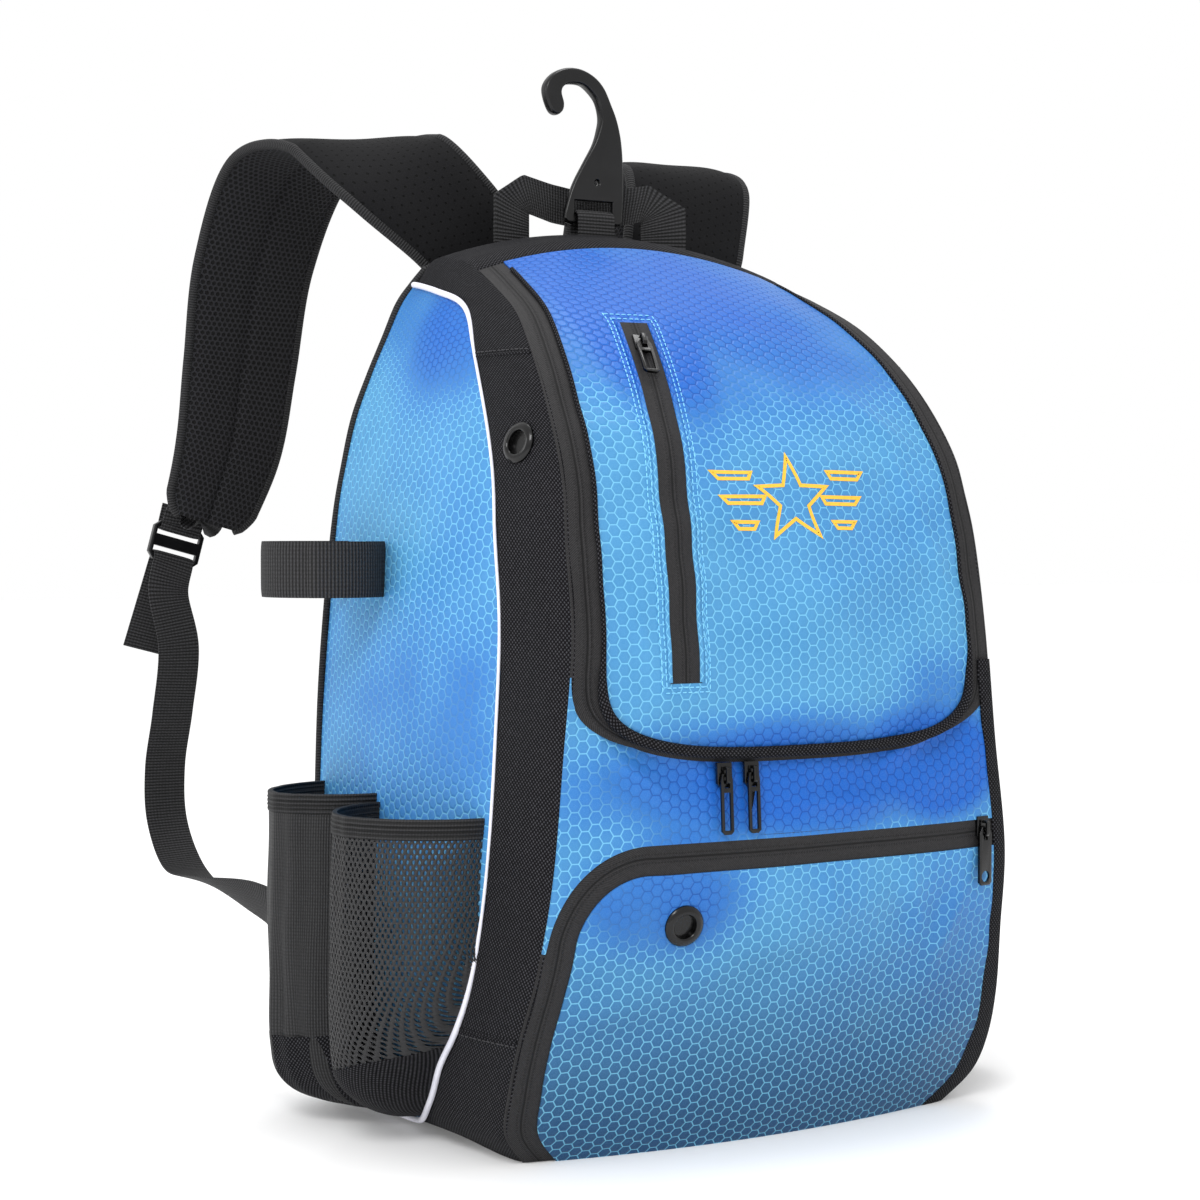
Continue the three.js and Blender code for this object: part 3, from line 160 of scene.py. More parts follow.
def smooth_row(table, share):
    """Row of a table at a share of the way through it: a uniform Catmull-Rom cubic."""
    table = np.asarray(table, float)
    at = np.clip(share, 0, 1) * (len(table) - 1)
    i = np.minimum(np.floor(at).astype(int), len(table) - 2)
    f = (at - i)[..., None]
    before, start = table[np.maximum(i - 1, 0)], table[i]
    end, after = table[i + 1], table[np.minimum(i + 2, len(table) - 1)]
    square = 2 * before - 5 * start + 4 * end - after
    cube = 3 * start - before - 3 * end + after
    return 0.5 * (2 * start + (end - before) * f + square * f**2 + cube * f**3)


def unit(vectors):
    """Vectors scaled to length one."""
    return vectors / np.maximum(np.linalg.norm(vectors, axis=-1, keepdims=True), 1e-9)


def mix(start, end, share):
    """The point a share of the way from start to end."""
    return start + (end - start) * share


def front_point(t, u):
    """Front surface: X = u width; Y and Z rise along the rail, domed by 1 - u squared."""
    t, u = np.broadcast_arrays(np.asarray(t, float), np.asarray(u, float))
    row = smooth_row(RAILS, t)
    crowned = 1 - u * u
    return np.stack([
        u * row[..., 0] * HALF_WIDTH,
        BACK_PLANE - (row[..., 1] + row[..., 6] * crowned) * BODY_DEPTH,
        (row[..., 2] + row[..., 7] * crowned) * BODY_HEIGHT,
    ], -1)


def back_point(t, u):
    """Rim plane of the back by the same shares: Y is constant."""
    t, u = np.broadcast_arrays(np.asarray(t, float), np.asarray(u, float))
    row = smooth_row(RAILS, t)
    return np.stack([
        u * row[..., 3] * HALF_WIDTH,
        np.full(t.shape, BACK_PLANE),
        (row[..., 4] + row[..., 7] * (1 - u * u)) * BODY_HEIGHT,
    ], -1)


def seam_place(c):
    """Rail share and side of a place c round the seam: base, right side, top, left side."""
    turn = np.asarray(c, float) % 4
    parts = [turn < 1, turn < 2, turn < 3]
    t = np.select(parts, [0 * turn, turn - 1, 1 + 0 * turn], 4 - turn)
    u = np.select(parts, [2 * turn - 1, 1 + 0 * turn, 5 - 2 * turn], -1.0)
    return t, u


def band_point(c, v):
    """Side band: straight from front seam to back seam, bulging by 4 v (1 - v) outwards."""
    c, v = np.broadcast_arrays(np.asarray(c, float), np.asarray(v, float))
    t, u = seam_place(c)
    front, back = front_point(t, u), back_point(t, u)
    step = 0.03
    ahead, behind = seam_place(c + step), seam_place(c - step)
    along = front_point(*ahead) + back_point(*ahead) - front_point(*behind) - back_point(*behind)
    out = unit(np.cross(unit(back - front), unit(along)))
    bulge = smooth_row(RAILS, t)[..., 5] * HALF_WIDTH * 4 * v * (1 - v)
    return mix(front, back, v[..., None]) + out * bulge[..., None]


def normal_of(surface, a, b):
    """Unit normal of a surface function, from small steps along both parameters."""
    step = 0.004
    along_a = surface(a + step, b) - surface(a - step, b)
    along_b = surface(a, b + step) - surface(a, b - step)
    return -unit(np.cross(along_a, along_b))


def front_normal(t, u):
    """Unit normal of the front surface."""
    return normal_of(lambda a, b: front_point(np.clip(a, 0, 1), b), t, u)


def band_normal(c, v):
    """Unit normal of the side band."""
    return normal_of(band_point, c, np.clip(v, 0.01, 0.99))


def bisect(height_gap, shape):
    """Where height_gap(t) goes from below zero to above it, for t from 0 to 1."""
    low, high = np.zeros(shape), np.ones(shape)
    for _ in range(34):
        middle = (low + high) / 2
        below = height_gap(middle) < 0
        low, high = np.where(below, middle, low), np.where(below, high, middle)
    return (low + high) / 2


def front_at(x, z):
    """Rail share and side of the front surface's point at X, Z of the front view."""
    x, z = np.broadcast_arrays(np.asarray(x, float), np.asarray(z, float))

    def side(t):
        return np.clip(x / front_point(t, 1)[..., 0], -1, 1)

    t = bisect(lambda t: front_point(t, side(t))[..., 2] - z, x.shape)
    return t, side(t)


def side_at(y, z):
    """Seam place and share of the depth of the right side's point at Y, Z."""
    y, z = np.broadcast_arrays(np.asarray(y, float), np.asarray(z, float))

    def share(t):
        edge = front_point(t, 1)[..., 1]
        return np.clip((y - edge) / (BACK_PLANE - edge), 0, 1)

    t = bisect(lambda t: band_point(1 + t, share(t))[..., 2] - z, y.shape)
    return 1 + t, share(t)


RAIL_STATIONS = np.linspace(0, 1, 800)
RAIL_LINE = front_point(RAIL_STATIONS, 0.6)
RAIL_CLIMB = np.concatenate([[0], np.cumsum(np.linalg.norm(np.diff(RAIL_LINE, axis=0), axis=1))])


def climb_of(t):
    """Length along the rail from the base to t."""
    return np.interp(t, RAIL_STATIONS, RAIL_CLIMB)


def rail_share(climb):
    """Rail share at a length along the rail."""
    return np.interp(climb, RAIL_CLIMB, RAIL_STATIONS)


def rail_at(z):
    """Rail share at a height on the front seam."""
    return front_at(np.full(np.shape(z), 1e4), z)[0]


def waves(a, b, length, seed):
    """Soft uneven relief from -1 to 1: a sum of nine plane waves near one wave length."""
    random = np.random.default_rng(seed)
    total = 0
    for _ in range(9):
        turn, phase = random.uniform(0, math.pi), random.uniform(0, 2 * math.pi)
        pace = 2 * math.pi / (length * random.uniform(0.7, 1.6))
        total = total + np.sin((a * math.cos(turn) + b * math.sin(turn)) * pace + phase)
    return total / 4.5


# Outlines on the front.

FLAP_EDGE_POWER = 3.2


def flap_side(t):
    """Side share where the flap ends and the main zip begins."""
    return 1 - MAIN_ZIP_WIDTH / front_point(t, 1)[..., 0]


FLAP_TURN_SHARE = rail_at(FLAP_TURN)
FLAP_HALF = float(front_point(FLAP_TURN_SHARE, flap_side(FLAP_TURN_SHARE))[..., 0])


def flap_edge(x):
    """Height of the flap's lower edge: a superellipse corner at both ends."""
    share = np.clip(np.abs(x) / FLAP_HALF, 0, 1)
    corner = (1 - share**FLAP_EDGE_POWER) ** (1 / FLAP_EDGE_POWER)
    return FLAP_DROP + FLAP_CORNER_RISE * (1 - corner)


def pocket_zip_centre(z):
    """X of the front pocket's zip: it leans over towards its top as a cubic."""
    share = np.clip((z - POCKET_ZIP_BOTTOM) / (POCKET_ZIP_TOP - POCKET_ZIP_BOTTOM), 0, 1)
    return -POCKET_ZIP_OFFSET + POCKET_ZIP_LEAN * share**3


SHOE_CORNER_Z = SHOE_ZIP_HEIGHT - SHOE_ZIP_CORNER
SHOE_CORNER_X = -float(front_point(rail_at(SHOE_CORNER_Z), 1)[..., 0]) + SHOE_ZIP_CORNER


def shoe_top(x, inset):
    """Height of the shoe compartment's outline: level, with a round left corner."""
    radius = SHOE_ZIP_CORNER - inset
    across = np.clip(SHOE_CORNER_X - x, 0, radius)
    return SHOE_CORNER_Z + np.sqrt(radius**2 - across**2)


# Places on the front where hard pieces sit, so the cloth stays at the frame's surface.
CALM_PLACES = [(-52, 392, 26), (-38, 180, 22), (115, 146, 18), (-66, 115, 18), (3, 315, 8)]


def eyelet_dimple(distance):
    """Cloth pressed in under an eyelet's hole, back to nothing under its flange."""
    share = np.clip((distance - EYELET_HOLE) / (EYELET_RADIUS - 1 - EYELET_HOLE), 0, 1)
    return -2.4 * (1 - share)


def front_relief(x, z, t, u):
    """Sag and creases of the front cloth, in millimetres along the normal."""
    soft = 1.1 * waves(x, z, 95, 3) + 0.45 * waves(x, z * 1.6, 42, 8)
    under = np.clip((SHOE_ZIP_HEIGHT + 40 - np.abs(z - SHOE_ZIP_HEIGHT - 20)) / 60, 0, 1)
    soft = soft + 1.3 * under * waves(x * 0.5, z, 34, 21)
    calm = 1 - np.abs(u) ** 10
    for px, pz, reach in CALM_PLACES:
        calm = calm * (1 - np.exp(-((x - px) ** 2 + (z - pz) ** 2) / (2 * reach**2)))
    soft = soft * calm * np.clip(z / 25, 0, 1) * np.clip((BODY_HEIGHT - 14 - z) / 25, 0, 1)
    soft = soft + creases(x, z) * calm
    return soft + eyelet_dimple(np.hypot(x + SHOE_VENT_OFFSET, z - SHOE_VENT_HEIGHT))


def flap_relief(x, z, t, u):
    """The flap's cloth: the front's sag, rolled back over the lower edge."""
    edge = np.clip((z - flap_edge(x)) / 11, 0, 1)
    return front_relief(x, z, t, u) - 1.5 * (1 - edge) ** 2


# Creases pulled into the front: start X, Z, end X, Z, half width, height.
CREASES = [
    (-112, 218, -28, 176, 5.0, 2.6),
    (-108, 200, -62, 166, 4.0, 1.8),
    (108, 214, 40, 180, 5.0, 2.4),
    (-20, 172, 70, 166, 4.5, 2.0),
    (-88, 146, -48, 128, 5.0, 1.8),
    (8, 138, 26, 104, 5.0, 1.6),
    (60, 138, 84, 96, 6.0, 2.0),
    (108, 128, 84, 74, 6.0, 2.0),
    (66, 352, 100, 262, 6.0, 1.6),
    (40, 372, 92, 338, 7.0, 1.6),
    (-92, 262, -72, 212, 5.0, 1.4),
]


def creases(x, z):
    """Soft ridges along lines, highest at their middle, with a shallow valley beside each."""
    total = 0
    for x0, z0, x1, z1, half, height in CREASES:
        length = math.hypot(x1 - x0, z1 - z0)
        ax, az = (x1 - x0) / length, (z1 - z0) / length
        along = ((x - x0) * ax + (z - z0) * az) / length
        off = ((x - x0) * az - (z - z0) * ax) / half
        taper = np.exp(-((along - 0.5) / 0.38) ** 4)
        total = total + height * taper * (np.exp(-off**2) - 0.45 * np.exp(-((off - 1.7) ** 2)))
    return total


def lower_relief(x, z, t, u):
    """The cloth below the flap, sunk behind its edge and coming back to the seams."""
    below = np.clip(flap_edge(x) - ZIP_REVEAL - z, 0, None)
    sink = LOWER_RECESS * np.exp(-below / 24) * (1 - np.abs(u) ** 16)
    return front_relief(x, z, t, u) - sink


def tape_relief(x, z, t, u):
    """A zip tape, sunk below the cloth on both sides of it."""
    return front_relief(x, z, t, u) - TAPE_SINK


def front_skin(t, u, lift=0.0, relief=front_relief):
    """Points of the front cloth, and its normals, raised by lift."""
    point, normal = front_point(t, u), front_normal(t, u)
    rise = lift + relief(point[..., 0], point[..., 2], t, u)
    return point + normal * rise[..., None], normal


def on_front(x, z, lift=0.0, relief=front_relief):
    """Points of the front cloth by front view X and Z."""
    t, u = front_at(x, z)
    return front_skin(t, u, np.broadcast_to(lift, t.shape), relief)


def front_cloth_map(t, u):
    """Cloth coordinates in millimetres: across and up along the surface."""
    return np.stack([front_point(t, u)[..., 0], climb_of(t)], -1)


# Meshes.

def grid_faces(rows, columns, wrap=False):
    """Quads of a grid of points; with wrap the last column joins the first."""
    i = np.arange(rows - 1)[:, None]
    j = np.arange(columns if wrap else columns - 1)[None, :]
    k = (j + 1) % columns
    corners = [i * columns + j, (i + 1) * columns + j, (i + 1) * columns + k, i * columns + k]
    return np.stack([np.broadcast_to(c, (rows - 1, j.size)) for c in corners], -1).reshape(-1, 4)


def signed_volume(points, quads):
    """Volume inside closed quads, negative where they face inwards."""
    a, b, c, d = (points[quads[:, k]] for k in range(4))
    first = np.einsum("ij,ij->i", a, np.cross(b, c))
    return float((first + np.einsum("ij,ij->i", a, np.cross(c, d))).sum())


def piece(name, points, quads, finish, slot, body="bag", maps=None, caps=(), stands_for=(), angle=50):
    """An object from closed quads and end caps, faced outwards, with its cloth map."""
    points = np.asarray(points, float).reshape(-1, 3)
    quads = np.asarray(quads)
    faces = [list(f) for f in quads] + [list(c) for c in caps]
    if signed_volume(points, quads) < 0:
        faces = [f[::-1] for f in faces]
    mesh = bpy.data.meshes.new(name)
    mesh.from_pydata(points / 1000, [], faces)
    if maps is not None:
        layer = mesh.uv_layers.new(name="cloth")
        places = np.empty(len(mesh.loops), int)
        mesh.loops.foreach_get("vertex_index", places)
        layer.data.foreach_set("uv", np.asarray(maps, float).reshape(-1, 2)[places].ravel())
    mesh.polygons.foreach_set("use_smooth", np.ones(len(mesh.polygons), bool))
    mesh.set_sharp_from_angle(angle=math.radians(angle))
    mesh.materials.append(finish)
    made = bpy.data.objects.new(name, mesh)
    bpy.context.collection.objects.link(made)
    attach(made, body)
    if stands_for:
        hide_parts(*stands_for)
    return made


def slab_parts(outer, inner, maps):
    """Points, quads and cloth map of a closed sheet between two grids of points."""
    rows, columns = outer.shape[:2]
    count = rows * columns
    top = grid_faces(rows, columns)
    rim = np.concatenate([
        np.arange(columns),
        np.arange(1, rows) * columns + columns - 1,
        (rows - 1) * columns + np.arange(columns - 2, -1, -1),
        np.arange(rows - 2, 0, -1) * columns,
    ])
    after = np.roll(rim, -1)
    walls = np.stack([rim, after, after + count, rim + count], -1)
    points = np.concatenate([outer.reshape(-1, 3), inner.reshape(-1, 3)])
    quads = np.concatenate([top, top[:, ::-1] + count, walls])
    return points, quads, np.concatenate([maps.reshape(-1, 2)] * 2)


def slab(name, outer, inner, maps, finish, slot, **more):
    """A closed sheet between two grids of points with the same cloth map."""
    points, quads, maps = slab_parts(outer, inner, maps)
    return piece(name, points, quads, finish, slot, maps=maps, **more)


def cloth_panel(name, grid, normal, maps, finish, slot, thickness=CLOTH, **more):
    """A cloth panel with its outer face on a grid of points."""
    return slab(name, grid, grid - normal * thickness, maps, finish, slot, **more)


def tube(name, path, normal, radii, finish, slot, sides=12, flat=1.0, **more):
    """A round cord along a path that lies on a surface; flat scales it along the normal."""
    path, normal = np.asarray(path, float), unit(np.asarray(normal, float))
    along = unit(np.gradient(path, axis=0))
    side = unit(np.cross(along, normal))
    normal = unit(np.cross(side, along))
    angle = np.linspace(0, 2 * math.pi, sides, endpoint=False)
    radii = np.broadcast_to(radii, len(path))[:, None, None]
    cosine, sine = np.cos(angle)[None, :, None], np.sin(angle)[None, :, None]
    ring = cosine * side[:, None] + flat * sine * normal[:, None]
    points = path[:, None] + ring * radii
    run = np.concatenate([[0], np.cumsum(np.linalg.norm(np.diff(path, axis=0), axis=1))])
    maps = np.stack(np.broadcast_arrays(angle[None] * radii[..., 0], run[:, None]), -1)
    last = (len(path) - 1) * sides
    caps = [list(range(sides)), [last + j for j in range(sides - 1, -1, -1)]]
    quads = grid_faces(len(path), sides, True)
    return piece(name, points, quads, finish, slot, maps=maps, caps=caps, **more)


def ribbon(name, path, across, width, thickness, finish, slot, columns=9, rounded=0.5, turn=1, **more):
    """Webbing along a path: flat across its width, thinner at its two edges."""
    path, across = np.asarray(path, float), np.asarray(across, float)
    along = unit(np.gradient(path, axis=0))
    across = unit(across - along * (across * along).sum(-1, keepdims=True))
    normal = turn * np.cross(along, across)
    s = np.sin(np.linspace(-0.5, 0.5, columns) * math.pi)
    swell = (1 - rounded * np.abs(s) ** 6)[None, :, None] * thickness / 2
    width = np.broadcast_to(width, len(path))
    middle = path[:, None] + across[:, None] * (s[None, :] * width[:, None] / 2)[..., None]
    run = np.concatenate([[0], np.cumsum(np.linalg.norm(np.diff(path, axis=0), axis=1))])
    maps = np.stack(np.broadcast_arrays(s[None] * width[:, None] / 2, run[:, None]), -1)
    push = normal[:, None] * swell
    return slab(name, middle + push, middle - push, maps, finish, slot, **more)


STITCH_RINGS = [(-0.5, 0.35), (-0.32, 1.0), (0.32, 1.0), (0.5, 0.35)]


def stitches(name, path, normal, finish, slot, length=2.3, pitch=3.2, radius=0.28, **more):
    """A row of short stitches, each a little rounded bar, spaced along a path."""
    path, normal = np.asarray(path, float), np.asarray(normal, float)
    run = np.concatenate([[0], np.cumsum(np.linalg.norm(np.diff(path, axis=0), axis=1))])
    stops = np.arange(pitch / 2, run[-1], pitch)
    spread = lambda values: np.stack([np.interp(stops, run, values[:, k]) for k in range(3)], -1)
    centre, out = spread(path), unit(spread(normal))
    along = unit(np.stack([np.interp(stops + 0.6, run, path[:, k]) for k in range(3)], -1)
                 - np.stack([np.interp(stops - 0.6, run, path[:, k]) for k in range(3)], -1))
    side = np.cross(along, out)
    sides = 6
    angle = np.linspace(0, 2 * math.pi, sides, endpoint=False)
    rings = [
        centre[:, None] + along[:, None] * place * length
        + (side[:, None] * np.cos(angle)[None, :, None]
           + out[:, None] * np.sin(angle)[None, :, None]) * radius * share
        for place, share in STITCH_RINGS
    ]
    points = np.stack(rings, 1)
    each = len(STITCH_RINGS) * sides
    start = np.arange(len(stops)) * each
    quads = (grid_faces(len(STITCH_RINGS), sides, True)[None] + start[:, None, None]).reshape(-1, 4)
    ends = [[s + j for j in range(sides)] for s in start]
    ends += [[s + each - 1 - j for j in range(sides)] for s in start]
    return piece(name, points, quads, finish, slot, caps=ends, maps=np.zeros((points.size // 3, 2)), **more)


def mirrored(grid):
    """The same points on the left side of the bag."""
    return np.asarray(grid) * np.array([-1, 1, 1])


SIDES = {"right": lambda grid: np.asarray(grid), "left": mirrored}


# Finishes. Arithmetic on a Value adds Math nodes to its material.

class Value:
    """An output socket of a material, with arithmetic."""

    def __init__(self, finish, socket):
        self.finish = finish
        self.socket = socket

    def math(self, operation, *values):
        """One Math node."""
        return self.finish.node("ShaderNodeMath", {"operation": operation}, dict(enumerate(values)))

    def __add__(self, other):
        return self.math("ADD", self, other)

    __radd__ = __add__

    def __sub__(self, other):
        return self.math("SUBTRACT", self, other)

    def __rsub__(self, other):
        return self.math("SUBTRACT", other, self)

    def __mul__(self, other):
        return self.math("MULTIPLY", self, other)

    __rmul__ = __mul__

    def __truediv__(self, other):
        return self.math("DIVIDE", self, other)

    def __rtruediv__(self, other):
        return self.math("DIVIDE", other, self)

    def __pow__(self, other):
        return self.math("POWER", self, other)

    def __mod__(self, other):
        return self.math("FLOORED_MODULO", self, other)

    def __abs__(self):
        return self.math("ABSOLUTE", self)

    def below(self, other):
        return self.math("LESS_THAN", self, other)

    def least(self, other):
        return self.math("MINIMUM", self, other)

    def most(self, other):
        return self.math("MAXIMUM", self, other)

    def sine(self):
        return self.math("SINE", self)

    def clamp(self):
        return self.math("MINIMUM", self.math("MAXIMUM", self, 0.0), 1.0)

    def step(self, low, high):
        """A smooth step from 0 at low to 1 at high."""
        share = ((self - low) / (high - low)).clamp()
        return share * share * (3 - 2 * share)


class Finish:
    """A material under construction."""

    def __init__(self, name):
        self.material = bpy.data.materials.new(name)
        self.material.use_nodes = True
        self.tree = self.material.node_tree
        self.shader = self.tree.nodes["Principled BSDF"]

    def node(self, kind, settings=None, sockets=None, out=0):
        """Adds a node: its settings first, then the values or links of its sockets."""
        made = self.tree.nodes.new(kind)
        for key, value in (settings or {}).items():
            setattr(made, key, value)
        for key, value in (sockets or {}).items():
            self.join(made.inputs[key], value)
        return Value(self, made.outputs[out])

    def join(self, socket, value):
        """Links a Value to a socket, or sets the socket to a number or colour."""
        if isinstance(value, Value):
            self.tree.links.new(value.socket, socket)
        else:
            socket.default_value = value

    def set(self, **values):
        """Sets the shader's sockets: base_color sets Base Color, and so on."""
        for key, value in values.items():
            name = key.replace("_", " ").title().replace("Ior", "IOR")
            self.join(self.shader.inputs[name], value)

    def cloth_map(self):
        """Across and along the cloth, in millimetres."""
        place = self.node("ShaderNodeUVMap", {"uv_map": "cloth"})
        parts = self.node("ShaderNodeSeparateXYZ", {}, {0: place})
        return parts, Value(self, parts.socket.node.outputs[1])

    def place(self):
        """The object's own coordinates, in metres."""
        return self.node("ShaderNodeTexCoord", out=3)

    def place_parts(self):
        """The object's own X, Y and Z, in metres."""
        parts = self.node("ShaderNodeSeparateXYZ", {}, {0: self.place()})
        return [Value(self, parts.socket.node.outputs[k]) for k in range(3)]

    def noise(self, scale, detail=2.0, rough=0.5):
        """Noise from 0 to 1 in the object's own coordinates."""
        sockets = {"Vector": self.place(), "Scale": scale, "Detail": detail, "Roughness": rough}
        return self.node("ShaderNodeTexNoise", {}, sockets)

    def blend(self, share, first, second):
        """Colour mix."""
        return self.node("ShaderNodeMix", {"data_type": "RGBA"}, {0: share, 6: first, 7: second}, out=2)

    def bump(self, height, distance, strength=1.0):
        """Normal from a height of 0 to 1 that stands for distance in metres."""
        sockets = {"Strength": strength, "Distance": distance, "Height": height}
        self.join(self.shader.inputs["Normal"], self.node("ShaderNodeBump", {}, sockets))


def rgb(red, green, blue):
    """A display colour of 0 to 255 as a linear one."""
    parts = [c / 255 for c in (red, green, blue)]
    return tuple(c / 12.92 if c <= 0.04045 else ((c + 0.055) / 1.055) ** 2.4 for c in parts) + (1.0,)


def honeycomb(finish, across, along, pitch):
    """Distance to the nearest edge of flat-topped hexagons, 0.5 at a cell's middle."""
    x, y = across / pitch, along / pitch
    wide = math.sqrt(3)

    def cell(shift_x, shift_y):
        return abs((x + shift_x) % wide - wide / 2), abs((y + shift_y) % 1.0 - 0.5)

    (ax, ay), (bx, by) = cell(0.0, 0.0), cell(wide / 2, 0.5)
    nearer = (ax * ax + ay * ay).below(bx * bx + by * by)
    gx = bx + nearer * (ax - bx)
    gy = by + nearer * (ay - by)
    return 0.5 - gy.most(0.5 * gy + (wide / 2) * gx)


# Places where the front lies in its own shade: X, Z, reach across and up, share, in metres.
FRONT_SHADE = [
    (0.0, 0.435, 0.12, 0.055, 0.9),
    (0.0, 0.182, 0.1, 0.022, 0.9),
    (-0.075, 0.128, 0.035, 0.02, 0.7),
    (-0.05, 0.385, 0.02, 0.05, 0.4),
    (0.1, 0.12, 0.03, 0.05, 0.35),
    (0.09, 0.2, 0.03, 0.03, 0.5),
]


# The same on the side panels, with Y for X.
SIDE_SHADE = [
    (0.02, 0.435, 0.07, 0.05, 0.7),
    (0.02, 0.2, 0.1, 0.05, 0.4),
]


def blue_ripstop(name, axis, shade):
    """Blue cloth with a woven honeycomb and painted shade: pale lines in the light; in the painted shade the
    cloth turns a deeper blue and its lines dark.

    The painted shade lies in uneven patches and in ovals over height and over the place axis of that number.
    """
    finish = Finish(name)
    across, along = finish.cloth_map()
    wobble = finish.noise(22.0, 1.0) - 0.5
    edge = honeycomb(finish, across + wobble * 1.2, along + wobble * 1.2, 5.9)
    line = 1 - edge.step(0.015, 0.075)
    place = finish.place_parts()
    sideways, z = place[axis], place[2]
    # Painted shade: uneven patches plus the listed ovals, where the cloth is turned a deeper blue.
    painted_shade = finish.noise(11.0, 2.0) * 1.1 - 0.52
    for middle, height, wide, high, share in shade:
        reach = ((sideways - middle) / wide) ** 2 + ((z - height) / high) ** 2
        painted_shade = painted_shade + (1 - reach.step(0.0, 3.4)) * share
    painted_shade = painted_shade.clamp()
    # Painted shade: the cloth is painted darker towards its foot, below 0.15 m.
    low = 1 - z.step(0.0, 0.15)
    sky = finish.blend(finish.noise(30.0, 3.0), rgb(60, 128, 178), rgb(80, 147, 194))
    # The painted shade turns the lit blue a deeper royal blue.
    ground = finish.blend(painted_shade, sky, rgb(8, 88, 182))
    ground = finish.blend(low * 0.9, ground, rgb(6, 48, 88))
    # Painted light and shade on the honeycomb lines: pale cyan where lit, dark navy in the painted shade.
    thread = finish.blend(painted_shade.step(0.3, 0.8), rgb(128, 202, 232), rgb(8, 52, 132))
    weave = finish.noise(2600.0, 1.0)
    ground = finish.blend((weave - 0.35).clamp() * 0.2, ground, rgb(150, 205, 240))
    finish.set(
        base_color=finish.blend(line * 0.62, ground, thread),
        roughness=0.46 + line * 0.2 - painted_shade * 0.06,
        specular_ior_level=0.2,
    )
    finish.bump(edge.step(0.0, 0.22) * 0.8 + finish.noise(900.0, 2.0) * 0.2, 0.0005, 0.7)
    return finish.material


def black_twill():
    """Black polyester twill: fine slanted ribs with grey flecks."""
    finish = Finish("black_twill")
    across, along = finish.cloth_map()
    pace = 2 * math.pi / 1.9
    rib = ((across + along * 0.85) * pace).sine() * 0.5 + 0.5
    over = ((across - along * 1.1) * pace * 0.8).sine() * 0.5 + 0.5
    fleck = finish.noise(700.0, 2.0)
    cloud = finish.noise(12.0, 2.0)
    bright = (rib * over * 1.1 + (fleck - 0.5) * 0.7 - 0.12).clamp()
    dark = finish.blend(cloud, rgb(4, 4, 6), rgb(9, 9, 12))
    finish.set(
        base_color=finish.blend(bright, dark, rgb(70, 70, 74)),
        roughness=0.78,
        specular_ior_level=0.1,
    )
    finish.bump(rib * 0.7 + fleck * 0.3, 0.0004, 0.7)
    return finish.material


def zip_tape():
    """Zip seen from its flat side: twill tape, a slit down the middle and two stitched rows."""
    finish = Finish("zip_tape")
    across, along = finish.cloth_map()
    middle = abs(across)
    slit = 1 - middle.step(0.25, 0.6)
    row = (1 - abs(middle - 2.0).step(0.25, 0.6)) * ((along * (2 * math.pi / 1.6)).sine() * 0.5 + 0.5)
    rib = ((across * 0.9 + along) * (2 * math.pi / 1.1)).sine() * 0.5 + 0.5
    fleck = finish.noise(1000.0, 2.0)
    bright = (rib * 0.35 + (fleck - 0.45) * 0.5).clamp()
    ground = finish.blend(bright, rgb(17, 17, 18), rgb(70, 68, 70))
    ground = finish.blend(row * 0.75, ground, rgb(12, 12, 13))
    finish.set(
        base_color=finish.blend(slit, ground, rgb(5, 5, 6)),
        roughness=0.72,
        specular_ior_level=0.3,
    )
    coil = 1 - (abs(middle - 1.5) / 1.4).clamp()
    finish.bump(coil * 0.7 - slit * 0.6 - row * 0.35 + rib * 0.12, 0.0009, 0.8)
    return finish.material


def webbing(name, ground, light, pitch=1.6):
    """Woven webbing: ribs across it, broken by the warp."""
    finish = Finish(name)
    across, along = finish.cloth_map()
    rib = (along * (2 * math.pi / pitch)).sine() * 0.5 + 0.5
    warp = (across * (2 * math.pi / (pitch * 1.1))).sine() * 0.5 + 0.5
    fleck = finish.noise(1100.0, 2.0)
    bright = (rib * (0.55 + warp * 0.3) + (fleck - 0.5) * 0.4).clamp()
    finish.set(
        base_color=finish.blend(bright, ground, light),
        roughness=0.7,
        specular_ior_level=0.25,
    )
    finish.bump(rib * 0.6 + warp * 0.3 + fleck * 0.1, 0.0006, 0.9)
    return finish.material


def elastic():
    """Hem elastic: ribs along its length."""
    finish = Finish("ribbed_elastic")
    across, along = finish.cloth_map()
    rib = (across * (2 * math.pi / 2.1)).sine() * 0.5 + 0.5
    tick = (along * (2 * math.pi / 1.5)).sine() * 0.5 + 0.5
    bright = (rib * 0.7 + tick * 0.3 - 0.3).clamp()
    finish.set(
        base_color=finish.blend(bright, rgb(9, 9, 10), rgb(56, 56, 58)),
        roughness=0.7,
        specular_ior_level=0.35,
    )
    finish.bump(rib * 0.8 + tick * 0.2, 0.0008, 0.9)
    return finish.material


def net(name, pitch_across, pitch_along, hole, ground):
    """Knitted net with staggered oval holes, cut through by the alpha."""
    finish = Finish(name)
    across, along = finish.cloth_map()
    x, y = across / pitch_across, along / pitch_along

    def oval(shift):
        ox = (x + shift) % 1.0 - 0.5
        oy = (y + shift) % 1.0 - 0.5
        return ox * ox + oy * oy

    near = oval(0.0).least(oval(0.5)) ** 0.5
    thread = near.step(hole, hole + 0.08)
    fleck = finish.noise(1200.0, 2.0)
    finish.set(
        base_color=finish.blend(fleck, ground, rgb(48, 48, 50)),
        roughness=0.6,
        alpha=thread,
        specular_ior_level=0.4,
    )
    finish.bump(near.step(hole, 0.45), 0.0006, 0.8)
    return finish.material


